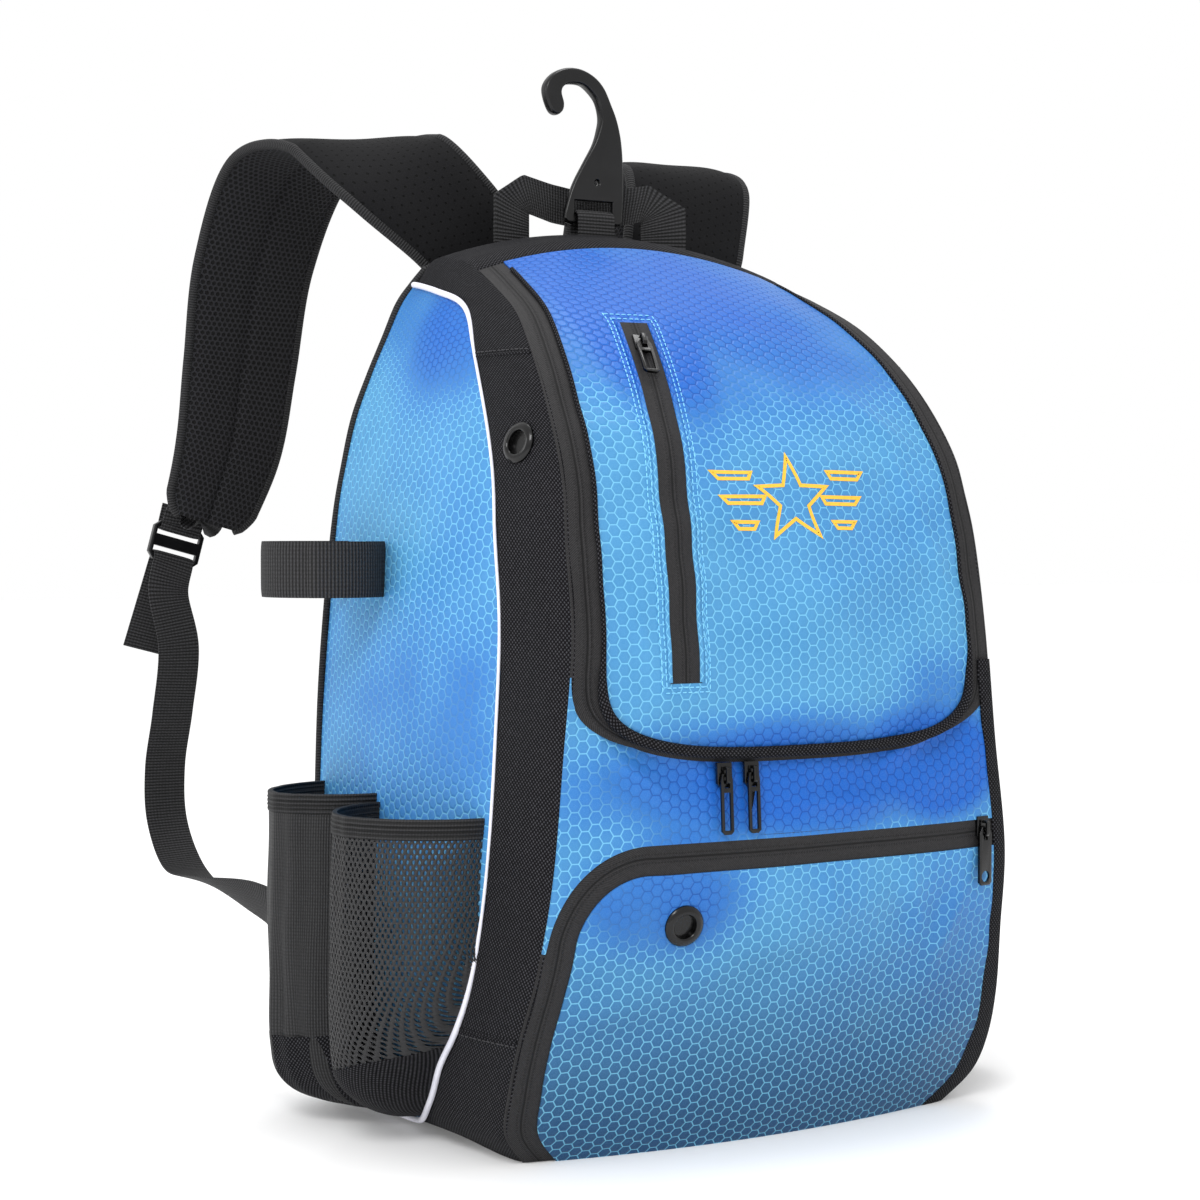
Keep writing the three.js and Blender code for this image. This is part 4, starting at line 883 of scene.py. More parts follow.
def tight_net():
    """Close knit of the bat sleeve: thin upright ribs with rows of pin holes."""
    finish = Finish("tight_net")
    across, along = finish.cloth_map()
    rib = (across * (2 * math.pi / 1.35)).sine() * 0.5 + 0.5
    hole = (along * (2 * math.pi / 1.7)).sine() * 0.5 + 0.5
    fleck = finish.noise(900.0, 2.0)
    gloss = finish.noise(55.0, 1.0)
    bright = (rib * 0.35 + rib * hole * 0.35 + (fleck - 0.5) * 0.3).clamp()
    finish.set(
        base_color=finish.blend(bright, rgb(11, 11, 12), rgb(60, 60, 62)),
        roughness=0.62 - gloss * 0.15,
        specular_ior_level=0.3,
    )
    finish.bump(rib * 0.6 + hole * 0.4, 0.0005, 0.8)
    return finish.material


def neoprene():
    """Outer face of the pads: smooth jersey on foam with scattered pin holes."""
    finish = Finish("perforated_neoprene")
    across, along = finish.cloth_map()
    x, y = across / 5.2, along / 5.2
    ox, oy = x % 1.0 - 0.5, (y + 0.5 * (x - x % 1.0)) % 1.0 - 0.5
    hole = 1 - ((ox * ox + oy * oy) ** 0.5).step(0.1, 0.16)
    fleck = finish.noise(1500.0, 2.0)
    ground = finish.blend(fleck, rgb(8, 8, 9), rgb(24, 24, 26))
    finish.set(
        base_color=finish.blend(hole, ground, rgb(3, 3, 3)),
        roughness=0.85,
        specular_ior_level=0.15,
    )
    finish.bump(fleck * 0.25 - hole, 0.0006, 0.8)
    return finish.material


def spacer_mesh():
    """Air mesh of the pads' inner faces and the back: a honeycomb of small dimples."""
    finish = Finish("spacer_mesh")
    across, along = finish.cloth_map()
    edge = honeycomb(finish, along, across, 3.4)
    wall = 1 - edge.step(0.1, 0.26)
    fleck = finish.noise(1300.0, 2.0)
    ground = finish.blend(wall, rgb(4, 4, 4), rgb(36, 36, 39))
    finish.set(
        base_color=finish.blend((fleck - 0.4).clamp() * 0.4, ground, rgb(60, 60, 63)),
        roughness=0.8,
        specular_ior_level=0.2,
    )
    finish.bump(wall, 0.0009, 0.9)
    return finish.material


def binding():
    """Ribbed binding tape round the pads."""
    finish = Finish("binding_tape")
    across, along = finish.cloth_map()
    rib = (along * (2 * math.pi / 1.5)).sine() * 0.5 + 0.5
    fleck = finish.noise(900.0, 2.0)
    bright = (rib * 0.55 + (fleck - 0.5) * 0.4).clamp()
    finish.set(
        base_color=finish.blend(bright, rgb(8, 8, 9), rgb(60, 60, 62)),
        roughness=0.75,
        specular_ior_level=0.3,
    )
    finish.bump(rib, 0.0005, 0.8)
    return finish.material


def white_cord():
    """Coated white piping, a little soiled."""
    finish = Finish("white_piping")
    soil = finish.noise(60.0, 3.0)
    finish.set(
        base_color=finish.blend(soil.step(0.45, 0.8) * 0.35, rgb(226, 226, 236), rgb(176, 177, 192)),
        roughness=0.5,
        specular_ior_level=0.4,
    )
    finish.bump(finish.noise(700.0, 2.0), 0.0002, 0.4)
    return finish.material


def gloss_metal():
    """Black-plated metal of sliders, pulls and eyelets, with worn bright specks."""
    finish = Finish("gloss_black_metal")
    wear = finish.noise(320.0, 4.0, rough=0.7)
    finish.set(
        base_color=finish.blend(wear.step(0.66, 0.8) * 0.4, rgb(10, 10, 11), rgb(70, 70, 73)),
        metallic=0.7,
        roughness=0.22 + wear * 0.12,
        coat_weight=0.4,
        coat_roughness=0.1,
    )
    finish.bump(wear, 0.0001, 0.3)
    return finish.material


def moulded_plastic():
    """Moulded black plastic with a fine grain and scuffed edges."""
    finish = Finish("moulded_plastic")
    grain = finish.noise(1400.0, 2.0)
    cloud = finish.noise(45.0, 3.0)
    finish.set(
        base_color=finish.blend(cloud.step(0.4, 0.8) * 0.5, rgb(9, 9, 10), rgb(24, 24, 26)),
        roughness=0.24 + cloud * 0.14,
        specular_ior_level=0.32,
    )
    finish.bump(grain, 0.00008, 0.5)
    return finish.material


def thread(name, light, dark):
    """Sewing thread with a twist."""
    finish = Finish(name)
    finish.set(base_color=finish.blend(finish.noise(800.0, 2.0), light, dark), roughness=0.55)
    finish.bump(finish.noise(1800.0, 1.0), 0.0001, 0.5)
    return finish.material


def gold_print():
    """Rubbery gold print, slightly cracked over the weave."""
    finish = Finish("gold_print")
    crack = finish.noise(420.0, 4.0, rough=0.7)
    finish.set(
        base_color=finish.blend(crack.step(0.5, 0.75) * 0.6, rgb(246, 186, 58), rgb(222, 150, 38)),
        roughness=0.5,
        specular_ior_level=0.4,
    )
    finish.bump(crack, 0.0002, 0.5)
    return finish.material


RIPSTOP = blue_ripstop("front_ripstop", 0, FRONT_SHADE)
SIDE_RIPSTOP = blue_ripstop("side_ripstop", 1, SIDE_SHADE)
TWILL = black_twill()
TAPE = zip_tape()
STRAP = webbing("black_webbing", rgb(9, 9, 9), rgb(64, 64, 66), pitch=1.8)
ELASTIC = elastic()
OPEN_NET = net("open_net", 2.9, 5.0, 0.17, rgb(16, 16, 17))
TIGHT_NET = tight_net()
NEOPRENE = neoprene()
SPACER = spacer_mesh()
BINDING = binding()
PIPING_CORD = white_cord()
METAL = gloss_metal()
PLASTIC = moulded_plastic()
PALE_THREAD = thread("pale_thread", rgb(150, 222, 248), rgb(96, 180, 232))
BLACK_THREAD = thread("black_thread", rgb(30, 30, 32), rgb(64, 64, 68))
GOLD = gold_print()


# Front panels.

def column_shares(count):
    """Places from -1 to 1, closer together towards both ends."""
    return np.sin(np.linspace(-0.5, 0.5, count) * math.pi)


def front_panel(name, side_share, low, high, relief, columns, rows, stands_for):
    """Cloth between two heights: columns at side shares, rows even along the rail."""
    s = column_shares(columns)
    heights = []
    for edge in (low, high):
        at = lambda t, edge=edge: front_point(t, side_share(s, t))
        heights.append(bisect(lambda t: at(t)[..., 2] - edge(at(t)[..., 0]), s.shape))
    start, end = (climb_of(t) for t in heights)
    t = rail_share(mix(start, end, np.linspace(0, 1, rows)[:, None]))
    u = side_share(s[None, :], t)
    grid, normal = front_skin(t, u, 0.0, relief)
    maps = front_cloth_map(t, u)
    return cloth_panel(name, grid, normal, maps, RIPSTOP, "blue_ripstop", stands_for=stands_for)


TOP_OF_BAG = 1e4
front_panel(
    "flap_cloth", lambda s, t: s * flap_side(t), flap_edge, lambda x: 0 * x + TOP_OF_BAG,
    flap_relief, 150, 170, ["front_flap"],
)
CORNER_ROWS = 40


def corner_point(angle, across):
    """Front view place between the flap's rounded corner and the lower cloth's, by angle."""
    drop = mix(FLAP_CORNER_RISE - 2, FLAP_CORNER_RISE + 2.5, across)
    power = 2 / FLAP_EDGE_POWER
    x = FLAP_HALF * np.cos(angle) ** power + across * MAIN_ZIP_WIDTH * np.cos(angle) ** 2
    return x, FLAP_TURN - drop * np.sin(angle) ** power


CORNER_X, CORNER_Z = corner_point(np.linspace(math.pi / 2, 0, 200), 1.0)


def lower_front_top(x):
    """Upper edge of the cloth under the flap: it curves down from the seams round the zip."""
    reach = np.abs(x)
    tucked = 6 * np.clip(1.3 - 1.6 * reach / FLAP_HALF, 0, 1)
    return np.interp(reach, CORNER_X, CORNER_Z) + 1 + tucked


front_panel(
    "lower_front_cloth", lambda s, t: s * np.ones_like(t), lambda x: shoe_top(x, 2),
    lower_front_top, lower_relief, 170, 60, ["lower_front"],
)
front_panel(
    "shoe_pocket_cloth",
    lambda s, t: mix(SHOE_ZIP_WIDTH / front_point(t, 1)[..., 0] - 1, 1, (s + 1) / 2),
    lambda x: 0 * x - 1, lambda x: shoe_top(x, SHOE_ZIP_WIDTH),
    front_relief, 150, 90, ["shoe_pocket"],
)


def edge_strip():
    """The gusset's cloth laps over the front's right edge, wider towards the base."""
    t = rail_share(np.linspace(0, climb_of(float(FLAP_TURN_SHARE)) + 2, 90))[:, None]
    edge = front_point(t, 1)
    width = 8.5 + 8 * np.clip((90 - edge[..., 2]) / 80, 0, 1)
    u = 1 - mix(width / edge[..., 0], 0, np.linspace(0, 1, 7)[None, :])
    lift = 0.15 + 0.5 * np.sin(np.linspace(0, 1, 7) * math.pi) ** 0.5
    grid, normal = front_skin(np.broadcast_to(t, u.shape), u, lift, front_relief)
    maps = np.stack([grid[..., 0], climb_of(np.broadcast_to(t, u.shape))], -1)
    cloth_panel("front_edge_strip", grid, normal, maps, TWILL, "black_twill", thickness=0.9)


edge_strip()


# Zips.

def tape_strip(name, place, columns, rows, width, stands_for=(), lift=0.0, relief=tape_relief):
    """A zip tape whose points come from place(along, across), both as shares."""
    along, across = np.meshgrid(np.linspace(0, 1, rows), np.linspace(0, 1, columns), indexing="ij")
    t, u = place(along, across)
    grid, normal = front_skin(t, u, lift, relief)
    middle = grid[:, columns // 2]
    run = np.concatenate([[0], np.cumsum(np.linalg.norm(np.diff(middle, axis=0), axis=1))])
    maps = np.stack(np.broadcast_arrays((across - 0.5) * width, run[:, None]), -1)
    return cloth_panel(name, grid, normal, maps, TAPE, "zip_tape", stands_for=stands_for)


def main_zip_place(sign):
    """Tape round the flap's corner, then between its side and the seam up to the top."""
    def place(along, across):
        angle = np.linspace(1.25, 0, CORNER_ROWS, endpoint=False)[:, None]
        corner = front_at(*corner_point(angle, across[:CORNER_ROWS]))
        climb = np.linspace(climb_of(float(FLAP_TURN_SHARE)), climb_of(1.0), len(along) - CORNER_ROWS)
        t = np.broadcast_to(rail_share(climb)[:, None], across[CORNER_ROWS:].shape)
        side = mix(flap_side(t), 1.0, across[CORNER_ROWS:])
        return np.concatenate([corner[0], t]), sign * np.concatenate([corner[1], side])
    return place


for name, sign in (("right", 1), ("left", -1)):
    tape_strip("main_zip_tape_" + name, main_zip_place(sign), 9, 200, MAIN_ZIP_WIDTH, ["main_zip_" + name])


def under_flap_place(along, across):
    """Tape along the flap's lower edge, half of it tucked behind."""
    x = FLAP_HALF * np.sin((along - 0.5) * math.pi) * 0.985
    return front_at(x, flap_edge(x) - mix(ZIP_REVEAL, -4.0, across))


tape_strip(
    "main_zip_under_flap", under_flap_place, 5, 90, 8, ["main_zip_lower"],
    lift=0.35, relief=lower_relief,
)


def shoe_zip_path(inset, count):
    """Front view course of the shoe zip at a distance inside its outline."""
    radius = SHOE_ZIP_CORNER - inset
    down = rail_share(np.linspace(0, climb_of(float(rail_at(SHOE_CORNER_Z))), count, endpoint=False))
    rail = front_point(down, 1)
    side = np.stack([-rail[:, 0] + inset, rail[:, 2]], -1)
    turn = math.pi * (1 - np.linspace(0, 0.5, count, endpoint=False))
    corner = np.stack([SHOE_CORNER_X + radius * np.cos(turn), SHOE_CORNER_Z + radius * np.sin(turn)], -1)
    level = SHOE_ZIP_HEIGHT - inset
    end = float(front_point(rail_at(level), 1)[..., 0])
    flat = np.stack([np.linspace(SHOE_CORNER_X, end, 2 * count), np.full(2 * count, level)], -1)
    return np.concatenate([side, corner, flat])


def shoe_zip_place(along, across):
    """Tape along the shoe pocket's arched edge."""
    columns = across.shape[1]
    paths = [shoe_zip_path(a, along.shape[0] // 4) for a in mix(SHOE_ZIP_WIDTH, 0.0, across[0])]
    courses = np.stack(paths, 1)
    return front_at(courses[..., 0], courses[..., 1])


tape_strip("shoe_zip_tape_strip", shoe_zip_place, 9, 200, SHOE_ZIP_WIDTH, ["shoe_zip_tape"])


def pocket_zip_place(along, across):
    """Tape along the slanted zip of the front pocket."""
    z = mix(POCKET_ZIP_BOTTOM, POCKET_ZIP_TOP, along)
    return front_at(pocket_zip_centre(z) + (across - 0.5) * POCKET_ZIP_WIDTH * 0.96, z)


tape_strip(
    "pocket_zip_tape_strip", pocket_zip_place, 9, 90, POCKET_ZIP_WIDTH, ["pocket_zip_tape"],
    lift=0.25, relief=front_relief,
)


def pocket_frame(out, count=60):
    """Front view course round the pocket zip's window, at a distance outside it."""
    z = np.linspace(POCKET_ZIP_BOTTOM - out, POCKET_ZIP_TOP + out, count)
    half = POCKET_ZIP_WIDTH / 2 + out
    left = np.stack([pocket_zip_centre(z) - half, z], -1)
    right = np.stack([pocket_zip_centre(z) + half, z], -1)
    return left, right


def pocket_window():
    """Folded cloth edges beside the pocket zip, and its frame of pale stitches."""
    for name, course in zip(("left", "right"), pocket_frame(-0.4)):
        path, normal = on_front(course[:, 0], course[:, 1], 0.35)
        tube("pocket_lip_" + name, path, normal, 1.15, RIPSTOP, "blue_ripstop", sides=10, flat=0.7)
    for name, out in (("inner", 1.9), ("outer", 4.2)):
        left, right = pocket_frame(out)
        top = np.linspace(left[-1], right[-1], 12)
        foot = np.linspace(right[0], left[0], 12)
        for part, course in (("left", left), ("top", top), ("right", right[::-1]), ("foot", foot)):
            path, normal = on_front(course[:, 0], course[:, 1], 0.28)
            stitches(
                "pocket_stitch_" + name + "_" + part, path, normal, PALE_THREAD, "blue_ripstop",
                radius=0.3,
            )


pocket_window()


# Print on the flap: a star between bars that grow shorter.

PRINT_CENTRE = (3, 315)
PRINT_LINE = 1.7
STAR_RADIUS = 21

# Bars beside the star: height from its centre and reach of the outer end.
BARS = ((12, 44), (0, 41), (-12, 36))


def print_lines():
    """Front view courses of the print, each a polyline round its own corners."""
    turn = math.pi / 2 + np.arange(11) * math.pi / 5
    reach = np.where(np.arange(11) % 2, 0.42, 1.0) * STAR_RADIUS
    courses = [np.stack([reach * np.cos(turn), reach * np.sin(turn)], -1)]
    for rise, end in BARS:
        inner = 22 if rise else 17
        bar = np.array([
            [inner, rise + 1.6], [end, rise + 1.6], [end - 3, rise - 1.6], [inner + 2, rise - 1.6],
        ])
        bar = np.concatenate([bar, bar[:1]])
        courses += [bar, bar * [-1, 1]]
    return [course + PRINT_CENTRE for course in courses]


def print_on_flap():
    """Thin raised ribbons of gold along the courses, mitred at their corners."""
    parts, start = [], 0
    for course in print_lines():
        step = np.diff(course, axis=0)
        lengths = np.linalg.norm(step, axis=1)
        run = np.concatenate([[0], np.cumsum(lengths)])
        stops = np.unique(np.concatenate([run, np.arange(0, run[-1], 1.5)]))
        line = np.stack([np.interp(stops, run, course[:, k]) for k in range(2)], -1)
        way = unit(step)
        left = np.stack([-way[:, 1], way[:, 0]], -1)
        corner = left + np.roll(left, 1, 0)
        corner = 2 * corner / (corner * corner).sum(-1, keepdims=True)
        piece_of = np.clip(np.searchsorted(run, stops, side="right") - 1, 0, len(left) - 1)
        side = left[piece_of]
        at_corner = np.isin(stops, run)
        side[at_corner] = np.concatenate([corner, corner[:1]])
        across = np.linspace(-0.5, 0.5, 3)[None, :, None] * PRINT_LINE
        place = line[:, None] + side[:, None] * across
        grid, normal = on_front(place[..., 0], place[..., 1], 0.28, flap_relief)
        maps = place - PRINT_CENTRE
        points, quads, maps = slab_parts(grid, grid - normal * 0.45, maps)
        parts.append((points, quads + start, maps))
        start += len(points)
    points, quads, maps = (np.concatenate([part[k] for part in parts]) for k in range(3))
    piece("gold_star_print", points, quads, GOLD, "blue_ripstop", maps=maps, angle=30)


print_on_flap()


# Piping and top stitching on the front.

def flap_piping():
    """Bound edge of the flap: thin up both sides and a thick bead round the lower edge."""
    t = rail_share(np.linspace(climb_of(0.965), climb_of(float(FLAP_TURN_SHARE)), 90, endpoint=False))
    side = front_point(t, flap_side(t))
    angle = np.linspace(0, math.pi / 2, 70)
    power = 2 / FLAP_EDGE_POWER
    x = np.concatenate([side[:, 0], FLAP_HALF * np.cos(angle) ** power])
    z = np.concatenate([side[:, 2], FLAP_TURN - FLAP_CORNER_RISE * np.sin(angle) ** power])
    bead = np.clip((FLAP_TURN + 14 - z) / 30, 0, 1)
    radii = 1.1 + 1.65 * bead * bead * (3 - 2 * bead)
    x, z = (np.concatenate([row, row[-2::-1]]) for row in (x, z))
    x[len(radii):] *= -1
    path, normal = on_front(x, z, 0.3)
    radii = np.concatenate([radii, radii[-2::-1]])
    tube(
        "flap_binding", path, normal, radii, TWILL, "black_twill",
        sides=14, flat=0.95, stands_for=["flap_piping"],
    )


flap_piping()


# The side band: black gussets, blue side panels and white piping.

# Rough sizes of the side, which turn shares of it into millimetres.
SIDE_DEPTH = 190
SIDE_HEIGHT = 470
RELIEF_HEIGHT = 460

PIPING_COURSE = smooth_row(PIPING, np.linspace(0, 1, 500))
FRONT_MOST = int(np.argmin(PIPING_COURSE[:, 1]))


def side_panel_limits(v):
    """Lowest and highest rail share of the blue side panel at a share of the depth."""
    low, high = PIPING_COURSE[: FRONT_MOST + 1][::-1], PIPING_COURSE[FRONT_MOST:]
    return np.interp(v, low[:, 1], low[:, 0]), np.interp(v, high[:, 1], high[:, 0])


def seam_distance(t, v):
    """Rough distance in millimetres inside the blue side panel's edge; negative outside."""
    low, high = side_panel_limits(np.maximum(v, PIPING_COURSE[FRONT_MOST, 1]))
    climbing, falling = PIPING_COURSE[FRONT_MOST:], PIPING_COURSE[: FRONT_MOST + 1][::-1]
    depth = (v - np.interp(t, climbing[:, 0], climbing[:, 1])) * SIDE_DEPTH
    lower = (v - np.interp(-t, -falling[:, 0], falling[:, 1])) * SIDE_DEPTH
    ends = np.minimum(t - low, high - t) * SIDE_HEIGHT
    return np.minimum(ends, np.where(t > 0.3, depth, lower))


VENT_EDGE = float(front_point(rail_at(GUSSET_VENT_HEIGHT), 1)[..., 1])
VENT_SEAT = side_at(np.array(VENT_EDGE + GUSSET_VENT_SETBACK), np.array(GUSSET_VENT_HEIGHT))
VENT_PLACE = band_point(*VENT_SEAT)


def gusset_lift(c, v):
    """The gusset swells between its seams and passes under the blue side panel."""
    t, u = seam_place(c)
    on_side = np.abs(u) > 0.999
    inside = np.where(on_side, seam_distance(t, v), -30)
    swell = 1 - np.exp(-np.clip(-inside, 0, None) / 7)
    front = 1 - np.exp(-v * 200 / 5)
    calm = 0.55 * waves(t * RELIEF_HEIGHT, v * SIDE_DEPTH, 70, 5) * front * swell
    place = band_point(c, v)
    vent = np.hypot(place[..., 1] - VENT_PLACE[1], place[..., 2] - VENT_PLACE[2])
    dimple = np.where(on_side, eyelet_dimple(vent), 0)
    return -1.3 + 1.3 * swell * front + calm + dimple - 1.2 * np.clip(inside / 3, 0, 1)


def band_piece(name, c, v, stands_for):
    """A gusset over a range of seam places, as black cloth."""
    grid, normal = band_point(c, v), band_normal(c, v)
    grid = grid + normal * gusset_lift(c, v)[..., None]
    grid[..., 2] = np.maximum(grid[..., 2], 0.0)
    around = np.cumsum(np.linalg.norm(np.diff(grid[:, :1], axis=0, prepend=grid[:1, :1]), axis=-1), 0)
    depth = np.cumsum(np.linalg.norm(np.diff(grid, axis=1, prepend=grid[:, :1]), axis=-1), 1)
    maps = np.stack(np.broadcast_arrays(depth, around), -1)
    return cloth_panel(name, grid, normal, maps, TWILL, "black_twill", stands_for=stands_for)


def side_height(z, v):
    """Rail share of the right side at a height, for each share of the depth."""
    return bisect(lambda t: band_point(1 + t, v)[..., 2] - z, v.shape)


DEPTH_SHARES = np.concatenate([np.linspace(0, 0.03, 5)[:-1], np.linspace(0.03, 1, 60)])
lower_cut = side_height(LOWER_SEAM, DEPTH_SHARES)
upper_cut = side_height(UPPER_SEAM, DEPTH_SHARES)


def rows_between(start, end, count):
    """Rows of a grid, evenly spaced from one row to another."""
    return mix(start[None, :], end[None, :], np.linspace(0, 1, count)[:, None])


def gussets():
    """Black cloth: both sides, the base and the top, split at the cross seams."""
    v = DEPTH_SHARES[None, :]
    ones = np.ones_like(DEPTH_SHARES)
    side = 1 + rows_between(lower_cut, upper_cut, 150)
    band_piece("gusset_cloth_right", side, v, ["gusset_right"])
    band_piece("gusset_cloth_left", 5 - side[::-1], v, ["gusset_left"])
    base = np.concatenate([
        rows_between(-lower_cut, 0 * ones, 40)[:-1],
        rows_between(0 * ones, ones, 60)[:-1],
        rows_between(ones, 1 + lower_cut, 40),
    ])
    band_piece("base_cloth", base, v, ["base_gusset"])
    top = np.concatenate([
        rows_between(1 + upper_cut, 2 * ones, 40)[:-1],
        rows_between(2 * ones, 3 * ones, 70)[:-1],
        rows_between(3 * ones, 4 - upper_cut, 40),
    ])
    band_piece("top_cloth", top, v, ["top_gusset"])


gussets()


def gusset_welts():
    """A folded seam with a row of stitches where the gusset meets the base and the top."""
    for name, cut, shift in (("lower", lower_cut, -1), ("upper", upper_cut, 1)):
        course = PIPING_COURSE[FRONT_MOST // 2:]
        v = np.linspace(0.015, float(np.interp(float(cut[0]), course[:, 0], course[:, 1])), 30)
        t = np.interp(v, DEPTH_SHARES, cut)
        for part, climb, lift in (("fold", 0.0, 0.1), ("stitch", shift * 2.6, 0.35)):
            c = 1 + rail_share(climb_of(t) + climb)
            normal = band_normal(c, v)
            path = band_point(c, v) + normal * (gusset_lift(c, v) + lift)[:, None]
            for side, turned in SIDES.items():
                if part == "fold":
                    tube("welt_" + name + "_" + side, turned(path), turned(normal), 0.8, TWILL,
                         "black_twill",
                         sides=8, flat=0.8)
                else:
                    stitches("welt_stitch_" + name + "_" + side, turned(path), turned(normal), BLACK_THREAD,
                             "black_twill", radius=0.3)


gusset_welts()


def side_panels():
    """Blue cloth inside the piping: columns of constant depth share."""
    first = PIPING_COURSE[FRONT_MOST, 1]
    v = first + (1 - first) * (1 - np.cos(np.linspace(0, 0.5, 80) * math.pi))
    low, high = side_panel_limits(v)
    t = rail_share(mix(climb_of(low), climb_of(high), np.linspace(0, 1, 130)[:, None]))
    v = np.broadcast_to(v, t.shape)
    edge = np.clip(seam_distance(t, v) / 9, 0, 1)
    lift = -0.5 + 0.5 * edge + edge * (0.9 * waves(t * RELIEF_HEIGHT, v * SIDE_DEPTH, 90, 12) - 0.4)
    normal = band_normal(1 + t, v)
    grid = band_point(1 + t, v) + normal * lift[..., None]
    maps = np.stack([grid[..., 1], climb_of(t)], -1)
    for side, turned in SIDES.items():
        cloth_panel(
            "side_cloth_" + side, turned(grid), turned(normal), maps, SIDE_RIPSTOP, "blue_ripstop",
            thickness=0.9, stands_for=["side_panel_" + side],
        )


side_panels()


def side_piping():
    """White cord along the seam: the gusset's edge covers most of it between its two ends."""
    share = np.linspace(0.03, 0.985, 260)
    course = smooth_row(PIPING, share)
    path, normal = band_point(1 + course[:, 0], course[:, 1]), band_normal(1 + course[:, 0], course[:, 1])
    shown = 1 - np.clip((path[:, 2] - 60) / 60, 0, 1) * np.clip((420 - path[:, 2]) / 30, 0, 1)
    radii = mix(0.8, 1.6, shown)
    path = path + normal * (radii - 0.9)[:, None]
    for side, turned in SIDES.items():
        tube(
            "white_piping_" + side, turned(path), turned(normal), radii, PIPING_CORD, "white_piping",
            sides=12, stands_for=["side_piping_" + side],
        )


side_piping()


# The back.

def back_panel():
    """Padded back: two long cushions and a lumbar one, parted by sewn channels."""
    t, u = np.meshgrid(rail_share(np.linspace(0, RAIL_CLIMB[-1], 150)), column_shares(110), indexing="ij")
    rim = back_point(t, u)
    x, z = rim[..., 0], rim[..., 2]
    swell = np.sqrt(np.clip(np.sin(math.pi * t), 0, 1)) * (1 - u**4)
    channel = np.exp(-((np.abs(x) - 0) / 7) ** 2)
    ribs = np.exp(-((((z - 40) % 78) - 39) / 5.0) ** 2) * np.clip(1.6 - np.abs(x) / 55, 0, 1) * 0.6
    edge = 1 - np.exp(-(1 - np.abs(u)) * 150 / 8)
    pressed = (3.2 * channel + 2.6 * ribs) * swell
    outer = rim.copy()
    outer[..., 1] += GAP + BACK_PADDING * (0.5 + 0.5 * edge) + BACK_BULGE * swell - pressed
    inner = rim + np.array([0, GAP, 0])
    maps = np.stack([x, z], -1)
    made = slab("back_cushion", outer, inner, maps, SPACER, "black_mesh", stands_for=["back_panel"])


back_panel()


def back_binding():
    """Binding tape over the seam between the band and the back."""
    c = np.concatenate([np.linspace(0.02, 0.98, 60), np.linspace(1.0, 2.0, 140), np.linspace(2.02, 2.98, 60),
                        np.linspace(3.0, 4.0, 140)])
    path = back_point(*seam_place(c))
    path[:, 1] += 1.0
    path[:, 2] = np.maximum(path[:, 2], 2.2)
    normal = unit(path - np.array([0, 0, 1]) * path[:, 2:3].mean() - np.array([[0, BACK_PLANE - 20, 0]]))
    path, normal = np.concatenate([path, path[:1]]), np.concatenate([normal, normal[:1]])
    tube("back_binding", path, normal, 2.1, BINDING,
         "black_webbing", sides=10)


back_binding()


# Eyelets.

EYELET_PROFILE = [
    (0.0, -1.5), (EYELET_HOLE - 1.2, -1.5), (EYELET_HOLE - 0.7, -1.2), (EYELET_HOLE - 0.4, 0.6),
    (EYELET_HOLE, 1.6), (EYELET_HOLE + 0.9, 2.1), (EYELET_HOLE + 2.0, 1.9), (EYELET_HOLE + 3.0, 1.4),
    (EYELET_RADIUS - 0.3, 0.8), (EYELET_RADIUS, 0.3), (EYELET_RADIUS - 0.3, -0.8), (EYELET_HOLE, -2.0),
    (0.0, -2.0),
]


def eyelet(name, centre, out, stands_for):
    """A turned ring: a profile of radius and height swept round the outward axis."""
    out = unit(out)
    side = unit(np.cross([0, 0, 1.0], out))
    up = np.cross(out, side)
    profile = smooth_row(EYELET_PROFILE, np.linspace(0, 1, 45))
    profile[0, 0] = profile[-1, 0] = 0.02
    angle = np.linspace(0, 2 * math.pi, 48, endpoint=False)
    ring = side * np.cos(angle)[:, None] + up * np.sin(angle)[:, None]
    points = centre + ring[None] * profile[:, 0][:, None, None] + out * profile[:, 1][:, None, None]
    last = (len(profile) - 1) * 48
    caps = [list(range(48)), [last + j for j in range(47, -1, -1)]]
    maps = np.zeros((points.size // 3, 2))
    piece(name, points, grid_faces(len(profile), 48, True), METAL, "black_metal", maps=maps, caps=caps,
          stands_for=stands_for)


def eyelets():
    """One eyelet on the shoe pocket and one on each gusset."""
    t, u = front_at(np.array(-SHOE_VENT_OFFSET), np.array(SHOE_VENT_HEIGHT))
    eyelet("shoe_eyelet", front_point(t, u), front_normal(t, u), ["shoe_vent"])
    normal = band_normal(*VENT_SEAT)
    for side, turned in SIDES.items():
        eyelet("gusset_eyelet_" + side, turned(VENT_PLACE), turned(normal), ["gusset_vent_" + side])


eyelets()


# Side pockets.

LOW_COURSE = PIPING_COURSE[PIPING_COURSE[:, 0] < 0.26]
POCKET_SEAM = band_point(1 + LOW_COURSE[:, 0], LOW_COURSE[:, 1])[::-1]


